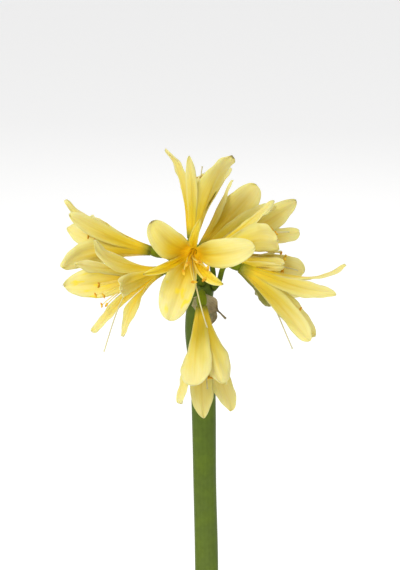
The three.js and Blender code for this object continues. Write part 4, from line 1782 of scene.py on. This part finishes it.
@dataclass
class Pot:
    """A plain clay pot with a deep rim, four drain holes and the potting mix in it."""

    foot_radius: float = 0.058
    mouth_radius: float = 0.082
    wall: float = 0.006
    floor: float = 0.009
    rim_height: float = 0.030
    rim_proud: float = 0.005
    drain_count: int = 4
    drain_radius: float = 0.005
    drain_circle: float = 0.032
    soil_crown: float = 0.005
    soil_gap: float = 0.0007
    lump_reach: float = 0.074
    litter_reach: float = 0.070
    sides: int = 112
    seed: int = 31

    def body_radius(self, z: float) -> float:
        """Return the outside radius of the pot's body at a height."""
        return self.foot_radius + (self.mouth_radius - self.foot_radius) * z / POT_TOP

    def build(self) -> None:
        """Build the pot, the soil and what lies loose on it."""
        self.build_pot()
        self.build_soil()
        self.build_litter()

    def build_pot(self) -> None:
        """Build the pot: a disc whose edge is drawn up ring by ring, then drilled and softened."""
        rim_foot = POT_TOP - self.rim_height
        rim_radius = self.mouth_radius + self.rim_proud
        rings = [(self.body_radius(0.004), 0.004)]
        rings += [(self.body_radius(z), z) for z in np.linspace(0.02, rim_foot - 0.004, 7)]
        rings += [
            (self.body_radius(rim_foot), rim_foot),
            (rim_radius - 0.0015, rim_foot),
            (rim_radius, rim_foot + 0.0022),
            (rim_radius, POT_TOP - 0.003),
            (rim_radius - 0.0016, POT_TOP - 0.0005),
            (rim_radius - 0.0035, POT_TOP),
            (self.mouth_radius - self.wall + 0.002, POT_TOP),
            (self.mouth_radius - self.wall, POT_TOP - 0.0015),
        ]
        rings += [
            (self.body_radius(z) - self.wall, z) for z in np.linspace(POT_TOP - 0.012, self.floor + 0.006, 6)
        ]
        rings += [(self.body_radius(self.floor) - self.wall - 0.004, self.floor)]
        Bench.clear()
        bpy.ops.mesh.primitive_circle_add(
            vertices=self.sides,
            radius=self.foot_radius - 0.002,
            fill_type="NGON",
            location=(0.0, 0.0, 0.0),
        )
        pot = bpy.context.object
        bpy.ops.object.mode_set(mode="EDIT")
        bpy.ops.mesh.select_mode(type="EDGE")
        bpy.ops.mesh.select_all(action="SELECT")
        radius, height = self.foot_radius - 0.002, 0.0
        bpy.ops.mesh.duplicate()
        bpy.ops.mesh.delete(type="ONLY_FACE")
        bpy.ops.mesh.select_all(action="DESELECT")
        shape = bmesh.from_edit_mesh(pot.data)
        for edge in shape.edges:
            edge.select = not edge.link_faces
        bmesh.update_edit_mesh(pot.data)
        for next_radius, next_height in rings:
            bpy.ops.mesh.extrude_region_move(
                TRANSFORM_OT_translate={"value": (0.0, 0.0, next_height - height)}
            )
            scale = next_radius / radius
            bpy.ops.transform.resize(value=(scale, scale, 1.0), center_override=(0.0, 0.0, next_height))
            radius, height = next_radius, next_height
        bpy.ops.mesh.edge_face_add()
        bpy.ops.object.mode_set(mode="OBJECT")
        Bench.recalculate(pot)
        for k in range(self.drain_count):
            angle = (k + 0.5) * 2.0 * math.pi / self.drain_count
            Bench.clear()
            bpy.ops.mesh.primitive_cylinder_add(
                vertices=28,
                radius=self.drain_radius,
                depth=0.04,
                location=(self.drain_circle * math.cos(angle), self.drain_circle * math.sin(angle), 0.0),
            )
            drill = bpy.context.object
            Bench.apply(pot, "BOOLEAN", operation="DIFFERENCE", object=drill, solver="EXACT")
            Bench.drop(drill)
        sharp = math.radians(40)
        Bench.apply(pot, "BEVEL", width=0.0007, segments=2, limit_method="ANGLE", angle_limit=sharp)
        self.throw(pot)
        pot.name = "clay_pot"
        pot.data.materials.clear()
        pot.data.materials.append(ClayFinish().dress())
        Bench.settle(pot, 32)
        Bench.hand_in(pot, "pot", "terracotta")

    def throw(self, pot: bpy.types.Object) -> None:
        """Give the pot the small unevenness of a turned one.

        Args:
            pot: the pot.
        """
        for vert in pot.data.vertices:
            angle = math.atan2(vert.co.y, vert.co.x)
            out_of_round = 0.0016 * math.sin(2 * angle + 9.0 * vert.co.z)
            wobble = 1.0 + out_of_round + 0.0010 * math.sin(190.0 * vert.co.z)
            if vert.co.z > 0.001:
                vert.co.x *= wobble
                vert.co.y *= wobble

    def soil_height(self, radius: float) -> float:
        """Work out the height of the soil.

        Args:
            radius: the distance from the pot's middle.

        Returns:
            The height there.
        """
        edge = SOIL_TOP - self.soil_crown
        share = radius / (self.body_radius(edge) - self.wall)
        return edge + self.soil_crown * (1.0 - share * share)

    def build_soil(self) -> None:
        """Build the soil: a ball pressed to the inside of the pot, with a crumbly top."""
        Bench.clear()
        bpy.ops.mesh.primitive_uv_sphere_add(segments=120, ring_count=96, radius=1.0, location=(0, 0, 0))
        soil = bpy.context.object
        Bench.hold(soil)
        low = self.floor + 0.0003
        edge = SOIL_TOP - self.soil_crown
        for vert in soil.data.vertices:
            x, y, z = vert.co
            flat = math.hypot(x, y)
            polar = math.atan2(flat, z) / math.pi
            heading = math.atan2(y, x)
            if polar <= 0.5:
                radius = (self.body_radius(edge) - self.wall - self.soil_gap) * polar * 2.0
                at = Vector((radius * math.cos(heading), radius * math.sin(heading), 0.0))
                lump = 0.0010 * self.crumble(at * 60.0) + 0.0007 * self.crumble(at * 190.0)
                fade = min(1.0, max(0.0, (self.lump_reach - radius) / 0.004))
                height = self.soil_height(radius) + (lump - 0.0009) * fade - 0.0003
            else:
                share = (polar - 0.5) * 2.0
                height = max(low, edge - share * 3.0 * (edge - low))
                full = self.body_radius(height) - self.wall - self.soil_gap
                radius = full if share < 1 / 3 else full * (1.0 - share) * 1.5
            vert.co = (radius * math.cos(heading), radius * math.sin(heading), height)
        Bench.recalculate(soil)
        soil.name = "soil_top"
        soil.data.materials.append(
            LooseFinish("potting_soil", (0.010, 0.006, 0.004), (0.060, 0.036, 0.020), 240.0).dress()
        )
        Bench.settle(soil)
        Bench.hand_in(soil, "potting_soil", "potting_soil")

    @staticmethod
    def crumble(at: Vector) -> float:
        """Return rough noise at a place, from -1 to 1."""
        return noise.fractal(at, 0.8, 2.1, 4)

    def build_litter(self) -> None:
        """Scatter bark chips and white grit over the soil."""
        chance = random.Random(self.seed)
        for litter in LITTER:
            Bench.clear()
            bpy.ops.mesh.primitive_ico_sphere_add(subdivisions=2, radius=0.5, location=(0, 0, 0))
            chip = bpy.context.object
            bpy.ops.object.mode_set(mode="EDIT")
            bpy.ops.mesh.select_all(action="SELECT")
            bpy.ops.transform.resize(value=litter.form)
            Bench.pick(chip, lambda co, top=litter.form[2]: co.z > 0.12 * top and co.x > -0.1)
            bpy.ops.transform.resize(value=(1.12, 1.05, 0.55))
            bpy.ops.object.mode_set(mode="OBJECT")
            pieces = []
            for _ in range(litter.count):
                pieces.append(self.scatter(chip, chance, litter.sizes))
            whole = Bench.join(pieces, litter.name)
            whole.data.materials.append(LooseFinish(litter.name, litter.dark, litter.light, 420.0).dress())
            Bench.settle(whole, 45)
            Bench.hand_in(whole, "potting_soil", "potting_soil")
            Bench.drop(chip)

    def scatter(
        self, chip: bpy.types.Object, chance: random.Random, sizes: tuple[float, float]
    ) -> bpy.types.Object:
        """Lay a copy of a chip somewhere on the soil.

        Args:
            chip: the chip.
            chance: what its place, size and turn come from.
            sizes: its least and greatest size.

        Returns:
            The copy.
        """
        size = chance.uniform(*sizes)
        radius = self.litter_reach * math.sqrt(chance.uniform(0.004, 1.0))
        heading = chance.uniform(0.0, 2.0 * math.pi)
        mesh = chip.data.copy()
        at = Vector((radius * math.cos(heading), radius * math.sin(heading), 0.0))
        at.z = self.soil_height(radius) + size * 0.10
        place = Matrix.Translation(at) @ Matrix.Rotation(chance.uniform(0.0, 6.28), 4, "Z")
        place = place @ Matrix.Rotation(chance.uniform(-0.35, 0.35), 4, "X")
        form = (size, size * chance.uniform(0.6, 1.2), size * chance.uniform(0.7, 1.2))
        mesh.transform(place @ Matrix.Diagonal((*form, 1.0)))
        piece = bpy.data.objects.new("chip", mesh)
        bpy.context.scene.collection.objects.link(piece)
        return piece


# ---------------------------------------------------------------- stage


@dataclass
class Studio:
    """The floor, the lights and the camera."""

    distance: float = 0.8
    lens: float = 72.0
    floor_size: float = 40.0
    offset: tuple[float, float] = (-0.0021, 0.0035)

    def build(self) -> None:
        """Build the stage."""
        self.lay_floor()
        self.hang_lights()
        self.set_camera()

    def lay_floor(self) -> None:
        """Lay a wide floor below the pot."""
        Bench.clear()
        bpy.ops.mesh.primitive_plane_add(size=self.floor_size, location=(0.0, 0.0, 0.0))
        floor = bpy.context.object
        floor.name = "floor"
        floor.data.materials.append(FloorFinish().dress())

    def hang_lights(self) -> None:
        """Hang a large key light, a fill and a back light, and set a soft sky."""
        target = Vector(HEAD_CENTRE)
        for name, place, size, power in (
            ("key", (-1.1, -1.3, 2.2), 1.0, 33.0),
            ("fill", (1.7, -1.2, 1.2), 1.6, 4.0),
            ("back", (0.3, 1.9, 1.9), 1.6, 8.0),
        ):
            light = bpy.data.lights.new(name, "AREA")
            light.size = size
            light.energy = power
            light.color = (1.0, 0.985, 0.96)
            lamp = bpy.data.objects.new(name, light)
            lamp.location = place
            lamp.rotation_euler = (target - Vector(place)).to_track_quat("-Z", "Y").to_euler()
            bpy.context.scene.collection.objects.link(lamp)
        world = bpy.data.worlds.new("sky")
        bpy.context.scene.world = world
        world.use_nodes = True
        sky = world.node_tree.nodes["Background"]
        sky.inputs["Color"].default_value = (1.0, 1.0, 1.0, 1.0)
        sky.inputs["Strength"].default_value = 0.66
        bpy.context.scene.view_settings.view_transform = "Standard"

    def set_camera(self) -> None:
        """Set the camera in front of the head's face."""
        camera = bpy.data.cameras.new("camera")
        camera.sensor_fit = "VERTICAL"
        camera.sensor_height = 36.0
        camera.lens = self.lens
        eye = from_head(np.array([[self.offset[0], self.offset[1], self.distance]]))[0]
        viewer = bpy.data.objects.new("camera", camera)
        viewer.matrix_world = Matrix.Translation(Vector(eye)) @ Matrix(HEAD_AXES.T).to_4x4()
        bpy.context.scene.collection.objects.link(viewer)
        bpy.context.scene.camera = viewer


def main() -> None:
    """Build the plant and its stage."""
    logging.basicConfig(level=logging.INFO, format="%(name)s: %(message)s")
    Studio().build()
    Blossom().build()
    Stem().build()
    Fans().build()
    Pot().build()


if __name__ == "__main__":
    main()
